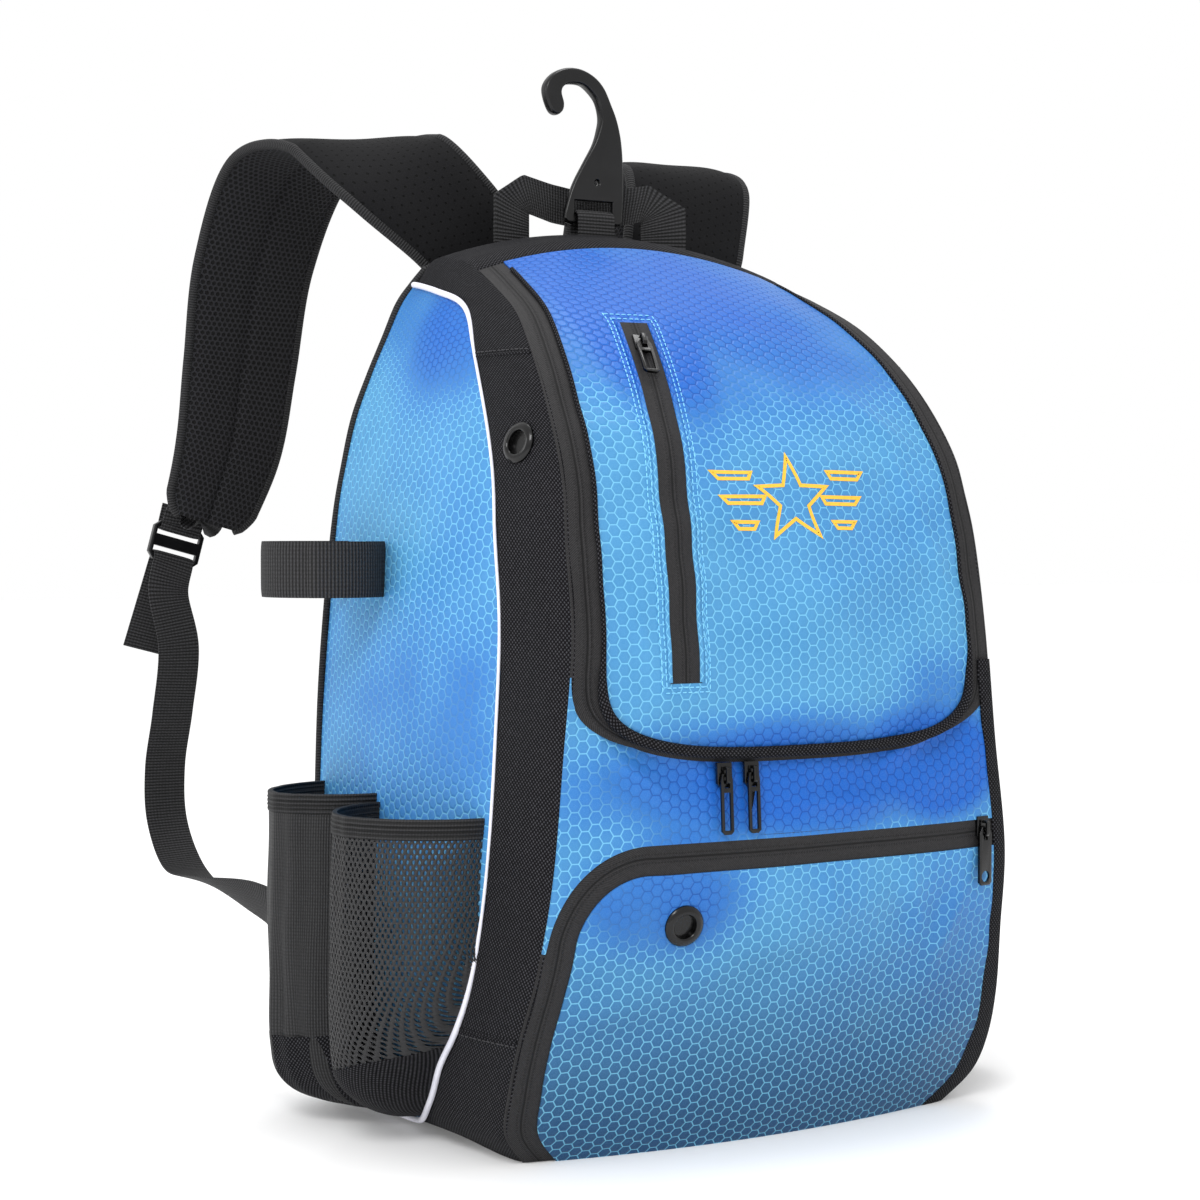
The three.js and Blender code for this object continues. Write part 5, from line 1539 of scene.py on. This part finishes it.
def pocket_grid(pocket, low, high, rows, columns, lift=0.0, folds=0.0):
    """A pocket's wall, from its seam beside the piping up to its hem.

    Across, it swells by the square root of a sine. Its foot lies the pocket's own belly below
    the seam, or above it where that is negative. Rows run between the heights low and high,
    from the foot if low is None.
    """
    a = np.linspace(0, 1, columns)[None, :]
    shift = 0.5 - 0.5 * np.cos(math.pi * a)
    y = mix(pocket["front"], pocket["back"], shift)
    across = np.sqrt(np.sin(math.pi * shift).clip(0, 1))
    seam = np.interp(y, POCKET_SEAM[:, 1], POCKET_SEAM[:, 2]) + 1.5
    foot_level = np.maximum(POCKET_FOOT, seam - pocket["belly"] * across)
    height = mix(foot_level if low is None else low, high, np.linspace(0, 1, rows)[:, None])
    above = np.clip(height - foot_level, 0, None)
    rounded = (1 - (1 - np.clip(above / 30, 0, 1)) ** 2.2) ** (1 / 2.2)
    z = height + (seam - foot_level) * (1 - np.clip(above / 14, 0, 1)) ** 2
    y = y + 0 * z
    grid = band_point(*side_at(y, z))
    fold = folds * (waves(y * 2.2, z * 0.16, 30, 31) + 0.6 * waves(y * 2.0, z * 0.2, 15, 44))
    fold = fold * across * rounded
    grid[..., 0] += (pocket["swell"] + lift + 1.6) * across * rounded - 1.6 + fold
    run = np.concatenate([[0], np.cumsum(np.linalg.norm(np.diff(grid[-1], axis=0), axis=1))])
    maps = np.stack(np.broadcast_arrays(run[None, :] - run[-1] / 2, height), -1)
    return grid, maps


def grid_normals(grid):
    """Unit normals of a grid of points, from its neighbours."""
    return unit(np.cross(np.gradient(grid, axis=1), np.gradient(grid, axis=0)))


def outward(grid, normal):
    """The normals turned so that they point away from the bag's right side."""
    return normal * np.sign(normal[normal.shape[0] // 2, normal.shape[1] // 2, 0])


def side_pocket(name, pocket, finish, folds, thickness, foot, body_node, hem_node):
    """Net wall, twill foot with a curved upper edge, and ribbed elastic at the hem."""
    top = pocket["hem"]
    share = np.linspace(0, 1, 14)
    ribs = 0.5 * np.sin(share * math.pi * 5) ** 2 * np.sin(share * math.pi) ** 0.3
    around = np.linspace(0, 1, 90)[None, :]
    foot_top = foot[0] + foot[1] * (1 - np.sin(around * math.pi)) + foot[2] * (1 - around) ** 3
    wall = pocket_grid(pocket, None, top - HEM_HEIGHT + 1.5, 90, 90, folds=folds)
    parts = {
        "net": (wall, finish, thickness, 0),
        "foot": (pocket_grid(pocket, None, foot_top, 40, 90, 0.7, folds * 0.5), TWILL, 1.0, 0),
        "elastic": (pocket_grid(pocket, top - HEM_HEIGHT, top, 14, 90, 0.5, folds * 0.8), ELASTIC, 2.2, 1),
    }
    for part, ((grid, maps), cloth, thick, ribbed) in parts.items():
        normal = outward(grid, grid_normals(grid))
        if ribbed:
            grid = grid + normal * ribs[:, None, None]
            maps = maps[..., ::-1]
        if part == "foot":
            down = np.cumsum(np.linalg.norm(np.diff(grid, axis=0, prepend=grid[:1]), axis=-1), axis=0)
            maps = np.stack([maps[..., 0], down - down[-1]], -1)
        stands_for = {"net": body_node, "foot": body_node, "elastic": hem_node}[part]
        for side, turned in SIDES.items():
            cloth_panel(
                name + "_" + part + "_" + side, turned(grid), turned(normal), maps, cloth,
                "black_webbing" if ribbed else "black_mesh", thickness=thick,
                stands_for=[stands_for + "_" + side],
            )


side_pocket("bottle_pocket", BOTTLE, OPEN_NET, 0.6, 0.7, (36, 4, 62), "bottle_pocket", "bottle_hem")
side_pocket("bat_sleeve", SLEEVE, TIGHT_NET, 1.8, 1.0, (46, 6, 0), "bat_sleeve", "sleeve_hem")


def bat_loops():
    """A ring of webbing sewn to the side, with its lapped end on the front."""
    c, v = side_at(np.array(LOOP_SETBACK), np.array(LOOP_HEIGHT))
    centre = band_point(c, v) + np.array([LOOP_REACH, 0, 0])
    angle = np.linspace(-math.pi * 0.78, math.pi * 0.78, 90)
    lap = 1.8 * np.clip((-angle - 0.9) / 0.08, 0, 1)
    radius = LOOP_RADIUS + lap
    path = np.stack([centre[0] + radius * np.cos(angle), centre[1] + radius * np.sin(angle),
                     np.full(angle.shape, centre[2])], -1)
    across = np.broadcast_to([0, 0, 1.0], path.shape)
    for side, turned in SIDES.items():
        ribbon("bat_loop_webbing_" + side, turned(path), across, LOOP_WIDTH, 2.0, STRAP, "black_webbing",
               columns=13, stands_for=["bat_loop_" + side])


bat_loops()


# Shoulder straps.

def way_curve(points, shares):
    """Centripetal Catmull-Rom curve through points, at shares of its point count."""
    points = np.asarray(points, float)
    padded = np.concatenate([[2 * points[0] - points[1]], points, [2 * points[-1] - points[-2]]])
    at = np.clip(shares, 0, 1) * (len(points) - 1)
    i = np.minimum(np.floor(at).astype(int), len(points) - 2)
    f = (at - i)[:, None]
    p0, p1, p2, p3 = (padded[i + k] for k in range(4))
    pairs = (p0, p1), (p1, p2), (p2, p3)
    d0, d1, d2 = (np.sqrt(np.linalg.norm(b - a, axis=1, keepdims=True)) for a, b in pairs)
    start = ((p1 - p0) / d0 - (p2 - p0) / (d0 + d1) + (p2 - p1) / d1) * d1
    end = ((p2 - p1) / d1 - (p3 - p1) / (d1 + d2) + (p3 - p2) / d2) * d1
    square = -3 * p1 + 3 * p2 - 2 * start - end
    cube = 2 * p1 - 2 * p2 + start + end
    return p1 + start * f + square * f**2 + cube * f**3


PAD_CREST = BODY_HEIGHT + PAD_RISE
PAD_BASE = BACK_PLANE + GAP + BACK_PADDING + PAD_THICKNESS / 2

# Shares of the spread, the reach and the rise, the width's direction and its share.
# The left pad leans in towards the middle at its root, and the right one stands upright.
PAD_ROOTS = {
    "left": [
        [0.53, 0.012, 0.65, 0.72, 0, -0.69, 0.76],
        [0.9, 0.03, 0.79, 0.76, 0, -0.65, 0.82],
        [1.27, 0.12, 0.92, 0.88, 0, -0.47, 0.93],
        [1.4, 0.37, 1.0, 0.99, 0, -0.1, 1.0],
    ],
    "right": [
        [1.08, 0.012, 0.62, 1, 0, 0, 0.98],
        [1.2, 0.02, 0.78, 1, 0, 0, 1.0],
        [1.33, 0.1, 0.95, 1, 0, 0, 1.02],
        [1.42, 0.37, 1.0, 1, 0, 0, 1.02],
    ],
}
PAD_TABLE = [
    [1.58, 0.66, 0.965, 1, 0, 0, 0.98],
    [1.69, 0.87, 0.72, 1, 0, 0, 0.93],
    [1.74, 0.95, 0.44, 0.99, 0, 0.05, 0.88],
    [1.83, 0.965, 0.21, 0.97, 0, 0.15, 0.82],
    [2.0, 1.0, 0.0, 0.93, 0, 0.3, 0.7],
]
PAD_WAYS = {
    side: np.array([
        [
            spread * PAD_SPREAD, mix(PAD_BASE, BACK_PLANE + PAD_REACH, reach),
            mix(PAD_END_HEIGHT, PAD_CREST, rise), wx, wy, wz, width * PAD_WIDTH,
        ]
        for spread, reach, rise, wx, wy, wz, width in root + PAD_TABLE
    ])
    for side, root in PAD_ROOTS.items()
}
PAD_WAY = PAD_WAYS["right"]


def pad_frames(way, shares):
    """Middle line of the pad, its width's direction, its outward normal and its width."""
    path = way_curve(way[:, :3], shares)
    more = smooth_row(way[:, 3:], shares)
    along = unit(np.gradient(path, axis=0))
    across = unit(more[:, :3] - along * (more[:, :3] * along).sum(-1, keepdims=True))
    return path, across, np.cross(across, along), more[:, 3]


def shoulder_pad(side, turned):
    """Two foam halves with a bound edge; the outer one is crowned and the inner one quilted."""
    shares = np.linspace(0.02, 1, 150)
    path, across, out, width = pad_frames(PAD_WAYS[side], shares)
    taper = np.clip((1 - shares) / 0.03, 0, 1) ** 0.5
    width = width * (0.72 + 0.28 * taper)
    s = column_shares(31)
    crown = (1 - np.abs(s) ** 5)[None, :, None]
    run = np.concatenate([[0], np.cumsum(np.linalg.norm(np.diff(path, axis=0), axis=1))])
    middle = path[:, None] + across[:, None] * (s[None] * (width[:, None] / 2 - 2))[..., None]
    maps = np.stack(np.broadcast_arrays(s[None] * width[:, None] / 2, run[:, None]), -1)
    soft = 0.5 * waves(run[:, None], s[None] * 40, 60, 17)[..., None]
    half = PAD_THICKNESS / 2 - 0.8
    outer = middle + out[:, None] * (1.2 + (half - 1.2 + soft) * crown)
    quilt = np.exp(-(s[None, :, None] / 0.07) ** 2) * 1.8
    inner = middle - out[:, None] * (1.2 + (half - 1.2 - soft) * crown - quilt * crown)
    seam_top, seam_low = middle + out[:, None] * 0.05, middle - out[:, None] * 0.05
    face = slab("pad_face_" + side, turned(outer), turned(seam_top), maps, NEOPRENE, "black_mesh",
                stands_for=["shoulder_pad_" + side])
    lining = slab("pad_lining_" + side, turned(seam_low), turned(inner), maps, SPACER, "black_mesh")
    for edge, sign in (("outer", 1), ("inner", -1)):
        line = path + across * (sign * (width / 2 - 2.4))[:, None]
        tube("pad_binding_" + edge + "_" + side, turned(line), turned(across * sign), 2.9, BINDING,
             "black_webbing", sides=12)


for side, turned in SIDES.items():
    shoulder_pad(side, turned)

PAD_END = PAD_WAY[-1, :3]
LOCK_CENTRE = PAD_END + np.array([12, PAD_THICKNESS / 2 + 13, -13])
LOCK_SIDE = np.array([0.966, 0, 0.259])
LOCK_OUT = np.array([0, -1.0, 0])
LOCK_UP = unit(np.cross(LOCK_OUT, LOCK_SIDE))
BAR_PLACE = LOCK_LENGTH / 2 - LOCK_BAR / 2
WRAP = math.hypot(LOCK_BAR, LOCK_THICKNESS) / 2 + GAP + WEBBING_THICKNESS / 2


def beside_bar(bar, up, out):
    """A way point of webbing near a bar of the ladder lock, with its width's direction."""
    return [*(LOCK_CENTRE + LOCK_UP * (bar + up) + LOCK_OUT * out), *LOCK_SIDE]


def pad_face(share, lift):
    """A way point of webbing on the pad's outer face, with its width's direction."""
    row = smooth_row(PAD_WAY, np.array(share))
    return [row[0], row[1] + PAD_THICKNESS / 2 + GAP + WEBBING_THICKNESS / 2 + lift, row[2], *row[3:6]]


def webbing_ribbon(name, way, stands_for, count=160):
    """Webbing through way points on both sides of the bag."""
    way = np.array(way, float)
    shares = np.linspace(0, 1, count)
    path, across = way_curve(way[:, :3], shares), smooth_row(way[:, 3:], shares)
    for side, turned in SIDES.items():
        ribbon(name + "_" + side, turned(path), turned(across), WEBBING, WEBBING_THICKNESS, STRAP,
               "black_webbing", columns=11, stands_for=[stands_for + "_" + side])


webbing_ribbon("pad_end_webbing", [
    pad_face(0.9, 0.6), pad_face(0.96, 0.6), pad_face(1, 1),
    beside_bar(BAR_PLACE, WRAP + 6, WRAP + 3), beside_bar(BAR_PLACE, 0.5, WRAP),
    beside_bar(BAR_PLACE, -0.75 * WRAP, 0.7 * WRAP), beside_bar(BAR_PLACE, -WRAP, 0),
    beside_bar(BAR_PLACE, -0.75 * WRAP, -0.7 * WRAP), beside_bar(BAR_PLACE, 0.5, -WRAP),
    beside_bar(BAR_PLACE, 12, -WRAP - 0.6),
], "pad_webbing")

TAB_SIDE = float(back_point(rail_at(TAB_HEIGHT), 1)[..., 0]) - 7
TAB_BACK = BACK_PLANE + GAP + BACK_PADDING + GAP
TAB_FACE = TAB_SIDE + TAB_THICKNESS + GAP + WEBBING_THICKNESS / 2
TAB_END = TAB_BACK + TAB_REACH
STRAP_TURN = LOCK_CENTRE[2] - STRAP_DROP


def near_lock(x, y, z, *across):
    """A way point beside the ladder lock, at a height of its own."""
    return [LOCK_CENTRE[0] + x, LOCK_CENTRE[1] + y, z, *across]


webbing_ribbon("adjuster_webbing", [
    beside_bar(-BAR_PLACE, -TAIL_LENGTH, -WRAP - 7), beside_bar(-BAR_PLACE, -20, -WRAP - 2.5),
    beside_bar(-BAR_PLACE, -0.5, -WRAP), beside_bar(-BAR_PLACE, 0.75 * WRAP, -0.7 * WRAP),
    beside_bar(-BAR_PLACE, WRAP, 0), beside_bar(-BAR_PLACE, 0.75 * WRAP, 0.7 * WRAP),
    beside_bar(-BAR_PLACE, -0.5, WRAP), beside_bar(-BAR_PLACE, -18, WRAP + 3.5),
    near_lock(3, -12, LOCK_CENTRE[2] - 0.39 * STRAP_DROP, 1, 0, 0.1),
    near_lock(4, -4, LOCK_CENTRE[2] - 0.645 * STRAP_DROP, 1, 0, 0),
    near_lock(5, 6, STRAP_TURN + 22, 1, 0, 0), near_lock(5, 4, STRAP_TURN - 8, 1, 0, 0),
    near_lock(4, -20, TAB_HEIGHT + 25, 1, 0, 0),
    [TAB_FACE + 8, TAB_END + 73, TAB_HEIGHT + 18, 0.8, 0, 0.5],
    [TAB_FACE + 2, TAB_END + 18, TAB_HEIGHT + 15, 0.3, 0, 0.95],
    [TAB_FACE + 0.4, TAB_END - 2, TAB_HEIGHT + 10, 0, 0.1, 1],
    [TAB_FACE + 0.2, TAB_END - 26, TAB_HEIGHT + 4, 0, 0.15, 1],
], "strap_webbing", 420)


def strap_tabs():
    """Folded triangle of twill that the adjuster webbing is sewn to."""
    a, b = np.meshgrid(np.linspace(0, 1, 30), np.linspace(0, 1, 20), indexing="ij")
    y = mix(BACK_PLANE + 4, TAB_END, a)
    low = mix(TAB_HEIGHT - 32, TAB_HEIGHT - 2, a)
    high = mix(TAB_HEIGHT + 28, TAB_HEIGHT + WEBBING - 1, a)
    z = mix(low, high, b)
    rim = np.minimum(np.minimum(a, 1 - a) * 30, np.minimum(b, 1 - b) * 30)
    half = TAB_THICKNESS / 2 * np.clip(0.5 + rim / 3, 0, 1)
    middle = np.stack([np.full(a.shape, TAB_SIDE + TAB_THICKNESS / 2), y, z], -1)
    push = np.stack([half, 0 * a, 0 * a], -1)
    maps = np.stack([y, z], -1)
    for side, turned in SIDES.items():
        slab("strap_tab_cloth_" + side, turned(middle + push), turned(middle - push), maps, TWILL,
             "black_twill", stands_for=["strap_tab_" + side])


strap_tabs()


# Haul handle, hook and hook loop.

TOP_EDGE = float(front_point(1.0, 0.0)[..., 1])


def top_at(x, y):
    """Point of the top surface over X, Y."""
    half_width = front_point(1.0, 1.0)[..., 0]
    return band_point(2.5 - x / (2 * half_width), (y - TOP_EDGE) / (BACK_PLANE - TOP_EDGE))


HANDLE_FOOT = float(top_at(np.array(HANDLE_SPAN / 2.5), np.array(TOP_SEAT))[..., 2])

# Outer X and height, inner X and height, as shares of half the span and of the rise.
HANDLE_TABLE = [
    [-1.0, -0.3, -0.6, -0.3],
    [-1.0, 0.1, -0.6, 0.1],
    [-1.0, 0.66, -0.6, 0.42],
    [-0.66, 1.0, -0.56, 0.42],
    [-0.33, 0.9, -0.33, 0.33],
    [0, 0.83, 0, 0.27],
    [0.33, 0.9, 0.33, 0.33],
    [0.66, 1.0, 0.56, 0.42],
    [1.0, 0.66, 0.6, 0.42],
    [1.0, 0.1, 0.6, 0.1],
    [1.0, -0.3, 0.6, -0.3],
]


def haul_handle():
    """Flat webbing, folded over at both corners and bowed back between them."""
    table = np.array(HANDLE_TABLE)
    at = np.linspace(0, len(table) - 1, 120)
    rows = np.stack([np.interp(at, np.arange(len(table)), table[:, k]) for k in range(4)], -1)
    b = np.linspace(0, 1, 13)
    x = mix(rows[:, 0:1], rows[:, 2:3], b)
    rise = mix(rows[:, 1:2], rows[:, 3:4], b)
    bow = HANDLE_BOW * (1 - np.minimum(np.abs(x), 1) ** 2)
    crumple = 0.35 * waves(x * 60, rise * 40, 22, 9)
    y = TOP_SEAT + HOOK_THICKNESS / 2 + 1.5 + bow + crumple
    front = np.stack([x * HANDLE_SPAN / 2, y, HANDLE_FOOT + rise * HANDLE_RISE], -1)
    back = front + np.array([0, HANDLE_THICKNESS, 0])
    step = np.linalg.norm(np.diff(front[:, 6], axis=0, prepend=front[:1, 6]), axis=1)
    maps = np.stack(np.broadcast_arrays((b - 0.5)[None] * WEBBING, np.cumsum(step)[:, None]), -1)
    slab("handle_webbing", front, back, maps, STRAP, "black_webbing", stands_for=["haul_handle"])


haul_handle()

HOOK_SEAT = float(top_at(np.array(0.0), np.array(TOP_SEAT))[..., 2])
HOOK_FOOT = HOOK_SEAT + HOOK_STANDOFF
SLOT_SIDE = WEBBING / 2 - 0.6

# Hook outline, right way round: shares of the width from the centre line and of the height.
HOOK_OUTLINE = [
    [-0.5, 0.04], [-0.46, 0.0], [0.0, 0.0], [0.46, 0.0], [0.5, 0.04], [0.52, 0.2], [0.515, 0.4],
    [0.48, 0.55], [0.4, 0.68], [0.3, 0.78], [0.17, 0.89], [0.0, 0.96], [-0.23, 1.0], [-0.47, 1.0],
    [-0.67, 0.965],
    [-0.8, 0.91], [-0.85, 0.85], [-0.81, 0.77], [-0.73, 0.705], [-0.63, 0.69], [-0.54, 0.72], [-0.52, 0.77],
    [-0.56, 0.84], [-0.5, 0.885], [-0.37, 0.9], [-0.2, 0.895], [-0.05, 0.85], [0.06, 0.79], [0.11, 0.7],
    [0.08, 0.62], [0.0, 0.52], [-0.16, 0.4], [-0.34, 0.26], [-0.45, 0.13],
]


def closed_curve(points, count):
    """A smooth closed course through points."""
    looped = np.array(list(points[-2:]) + list(points) + list(points[:3]))
    inner = np.linspace(2, len(looped) - 3, count, endpoint=False) / (len(looped) - 1)
    return smooth_row(looped, inner)


def plate_curve(name, outlines, depth, bevel):
    """A filled flat curve with rounded edges, as a mesh standing in X and Z."""
    curve = bpy.data.curves.new(name, "CURVE")
    curve.dimensions = "2D"
    curve.fill_mode = "BOTH"
    curve.bevel_depth = bevel / 1000
    curve.bevel_resolution = 5
    curve.extrude = (depth / 2 - bevel) / 1000
    for outline in outlines:
        spline = curve.splines.new("POLY")
        spline.points.add(len(outline) - 1)
        count = len(outline)
        flat = np.concatenate([np.asarray(outline) / 1000, np.zeros((count, 1)), np.ones((count, 1))], 1)
        spline.points.foreach_set("co", flat.ravel())
        spline.use_cyclic_u = True
    holder = bpy.data.objects.new(name + "_curve", curve)
    bpy.context.collection.objects.link(holder)
    mesh = bpy.data.meshes.new_from_object(holder.evaluated_get(bpy.context.evaluated_depsgraph_get()))
    bpy.data.objects.remove(holder)
    flat = np.empty(len(mesh.vertices) * 3)
    mesh.vertices.foreach_get("co", flat)
    return mesh, flat.reshape(-1, 3)


def fence_hook():
    """Flat hook plate, thicker and rounder towards the crook, with a slot and a small hole."""
    bevel = 1.5
    outline = closed_curve(HOOK_OUTLINE, 170) * [HOOK_WIDTH, HOOK_HEIGHT] + [HOOK_CENTRE, HOOK_FOOT]
    inward = unit(np.roll(outline, -1, 0) - np.roll(outline, 1, 0)) @ np.array([[0, 1], [-1, 0]])
    slot = np.array([[-SLOT_SIDE, HOOK_BAR], [SLOT_SIDE, HOOK_BAR], [SLOT_SIDE, HOOK_BAR + HOOK_SLOT],
                     [-SLOT_SIDE, HOOK_BAR + HOOK_SLOT]]) + [HOOK_CENTRE, HOOK_FOOT]
    angle = np.linspace(0, 2 * math.pi, 20, endpoint=False)
    pilot_place = [HOOK_CENTRE + 2, HOOK_FOOT + 0.27 * HOOK_HEIGHT]
    pilot = np.stack([np.cos(angle), np.sin(angle)], -1) * 1.5 + pilot_place
    grown = slot + np.sign(slot - slot.mean(0)) * bevel
    wide = pilot + unit(pilot - pilot.mean(0)) * bevel
    outlines = [outline + inward * bevel, grown, wide]
    mesh, points = plate_curve("fence_hook_shape", outlines, HOOK_THICKNESS, bevel)
    height = points[:, 1] * 1000
    swell = np.clip((height - HOOK_FOOT - 0.4 * HOOK_HEIGHT) / (0.35 * HOOK_HEIGHT), 0, 1)
    thick = 1 + 0.75 * swell * swell * (3 - 2 * swell)
    placed = np.stack([points[:, 0], TOP_SEAT / 1000 + points[:, 2] * thick, points[:, 1]], -1)
    mesh.vertices.foreach_set("co", placed.ravel())
    mesh.flip_normals()
    mesh.materials.clear()
    mesh.materials.append(PLASTIC)
    mesh.polygons.foreach_set("use_smooth", np.ones(len(mesh.polygons), bool))
    mesh.set_sharp_from_angle(angle=math.radians(35))
    made = bpy.data.objects.new("moulded_hook", mesh)
    bpy.context.collection.objects.link(made)
    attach(made, "hook")
    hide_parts("fence_hook")


fence_hook()


def hook_loop():
    """Webbing folded over the hook's lower bar and sewn into the top."""
    turn = math.hypot(HOOK_BAR, HOOK_THICKNESS) / 2 + GAP + WEBBING_THICKNESS / 2
    pivot = HOOK_FOOT + HOOK_BAR / 2
    angle = math.pi * (1 - np.linspace(0, 1, 40))
    arc = np.stack([0 * angle, TOP_SEAT + turn * np.cos(angle), pivot + turn * np.sin(angle)], -1)
    foot = HOOK_SEAT - 3
    legs = np.linspace(foot, pivot, 12, endpoint=False)
    front = np.stack([0 * legs, TOP_SEAT - turn + 0 * legs, legs], -1)
    back = np.stack([0 * legs, TOP_SEAT + turn + 0 * legs, legs], -1)[::-1]
    path = np.concatenate([front, arc, back]) + np.array([HOOK_CENTRE, 0, 0])
    across = np.broadcast_to([1.0, 0, 0], path.shape)
    ribbon("hook_loop_webbing", path, across, 2 * SLOT_SIDE - 1, WEBBING_THICKNESS, STRAP, "black_webbing",
           columns=11, stands_for=["hook_loop"])


hook_loop()


# Small hard pieces: the frame's own shapes with rounded edges.

def rounded_copy(node, name, finish, body, bevel):
    """A merged copy of a frame node with a small bevel on its edges."""
    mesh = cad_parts[node].data.copy()
    made = bpy.data.objects.new(name, mesh)
    bpy.context.collection.objects.link(made)
    work = bmesh.new()
    work.from_mesh(mesh)
    bmesh.ops.remove_doubles(work, verts=work.verts, dist=1e-5)
    bmesh.ops.dissolve_limit(work, angle_limit=math.radians(3), verts=work.verts, edges=work.edges)
    work.to_mesh(mesh)
    work.free()
    mesh.materials.clear()
    mesh.materials.append(finish)
    mesh.polygons.foreach_set("use_smooth", np.ones(len(mesh.polygons), bool))
    edge = made.modifiers.new("soft edges", "BEVEL")
    edge.width = bevel / 1000
    edge.segments = 3
    edge.limit_method = "ANGLE"
    edge.angle_limit = math.radians(25)
    edge.harden_normals = True
    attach(made, body)
    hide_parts(node)
    return made


for node, body in (
    ("pocket_slider", "bag"), ("pocket_pull", "pull_pocket"), ("main_slider_left", "bag"),
    ("main_pull_left", "pull_main_left"), ("main_slider_right", "bag"),
    ("main_pull_right", "pull_main_right"), ("shoe_slider", "bag"), ("shoe_pull", "pull_shoe"),
):
    rounded_copy(node, node + "_metal", METAL, body, 0.3)
for side in SIDES:
    rounded_copy("ladder_lock_" + side, "ladder_lock_plastic_" + side, PLASTIC, "bag", 0.7)


# Stage, light and camera.

CAMERA_PLACE = np.array([-683.7, -1084.6, 301.1])
CAMERA_YAW = math.radians(30.855)
CAMERA_PITCH = math.radians(-1.667)
FOCAL_PIXELS = 2438
IMAGE_WIDTH = 1200
SENSOR = 36.0


def stage():
    """Pale floor and an even white surrounding light."""
    mesh = bpy.data.meshes.new("floor")
    reach = 9.0
    corners = [(-reach, -reach, 0), (reach, -reach, 0), (reach, reach, 0), (-reach, reach, 0)]
    mesh.from_pydata(corners, [], [(0, 1, 2, 3)])
    finish = Finish("pale_floor")
    shade = finish.blend(finish.noise(3.0, 2.0), (0.93, 0.93, 0.93, 1), (0.9, 0.9, 0.905, 1))
    finish.set(base_color=shade, roughness=0.8, emission_color=(1, 1, 1, 1), emission_strength=0.1)
    mesh.materials.append(finish.material)
    floor = bpy.data.objects.new("floor", mesh)
    bpy.context.collection.objects.link(floor)

    world = bpy.data.worlds.new("studio")
    bpy.context.scene.world = world
    world.use_nodes = True
    world.node_tree.nodes["Background"].inputs["Color"].default_value = (1, 1, 1, 1)
    world.node_tree.nodes["Background"].inputs["Strength"].default_value = 1.0


def soft_box(name, place, target, size, power):
    """A square area light that faces a point."""
    light = bpy.data.lights.new(name, "AREA")
    light.shape = "SQUARE"
    light.size = size
    light.energy = power
    lamp = bpy.data.objects.new(name, light)
    bpy.context.collection.objects.link(lamp)
    way = np.array(target, float) - np.array(place, float)
    lamp.location = place
    lamp.rotation_euler = [math.atan2(math.hypot(way[0], way[1]), -way[2]), 0, math.atan2(-way[0], way[1])]


def camera():
    """Camera at the photograph's viewing angle, with no shift."""
    lens = bpy.data.cameras.new("camera")
    lens.sensor_width = SENSOR
    lens.sensor_fit = "HORIZONTAL"
    lens.lens = FOCAL_PIXELS / IMAGE_WIDTH * SENSOR
    lens.clip_end = 50
    holder = bpy.data.objects.new("camera", lens)
    bpy.context.collection.objects.link(holder)
    holder.location = CAMERA_PLACE / 1000
    holder.rotation_euler = [math.pi / 2 + CAMERA_PITCH, 0, -CAMERA_YAW]
    bpy.context.scene.camera = holder


stage()
soft_box("key", (-1.5, -1.5, 1.9), (0, 0, 0.25), 0.9, 30)
soft_box("side", (-1.9, 0.3, 0.9), (0, 0, 0.22), 0.7, 6)
soft_box("top", (0.3, 0.2, 2.2), (0, 0, 0.3), 0.8, 14)
camera()
bpy.context.scene.view_settings.view_transform = "Standard"
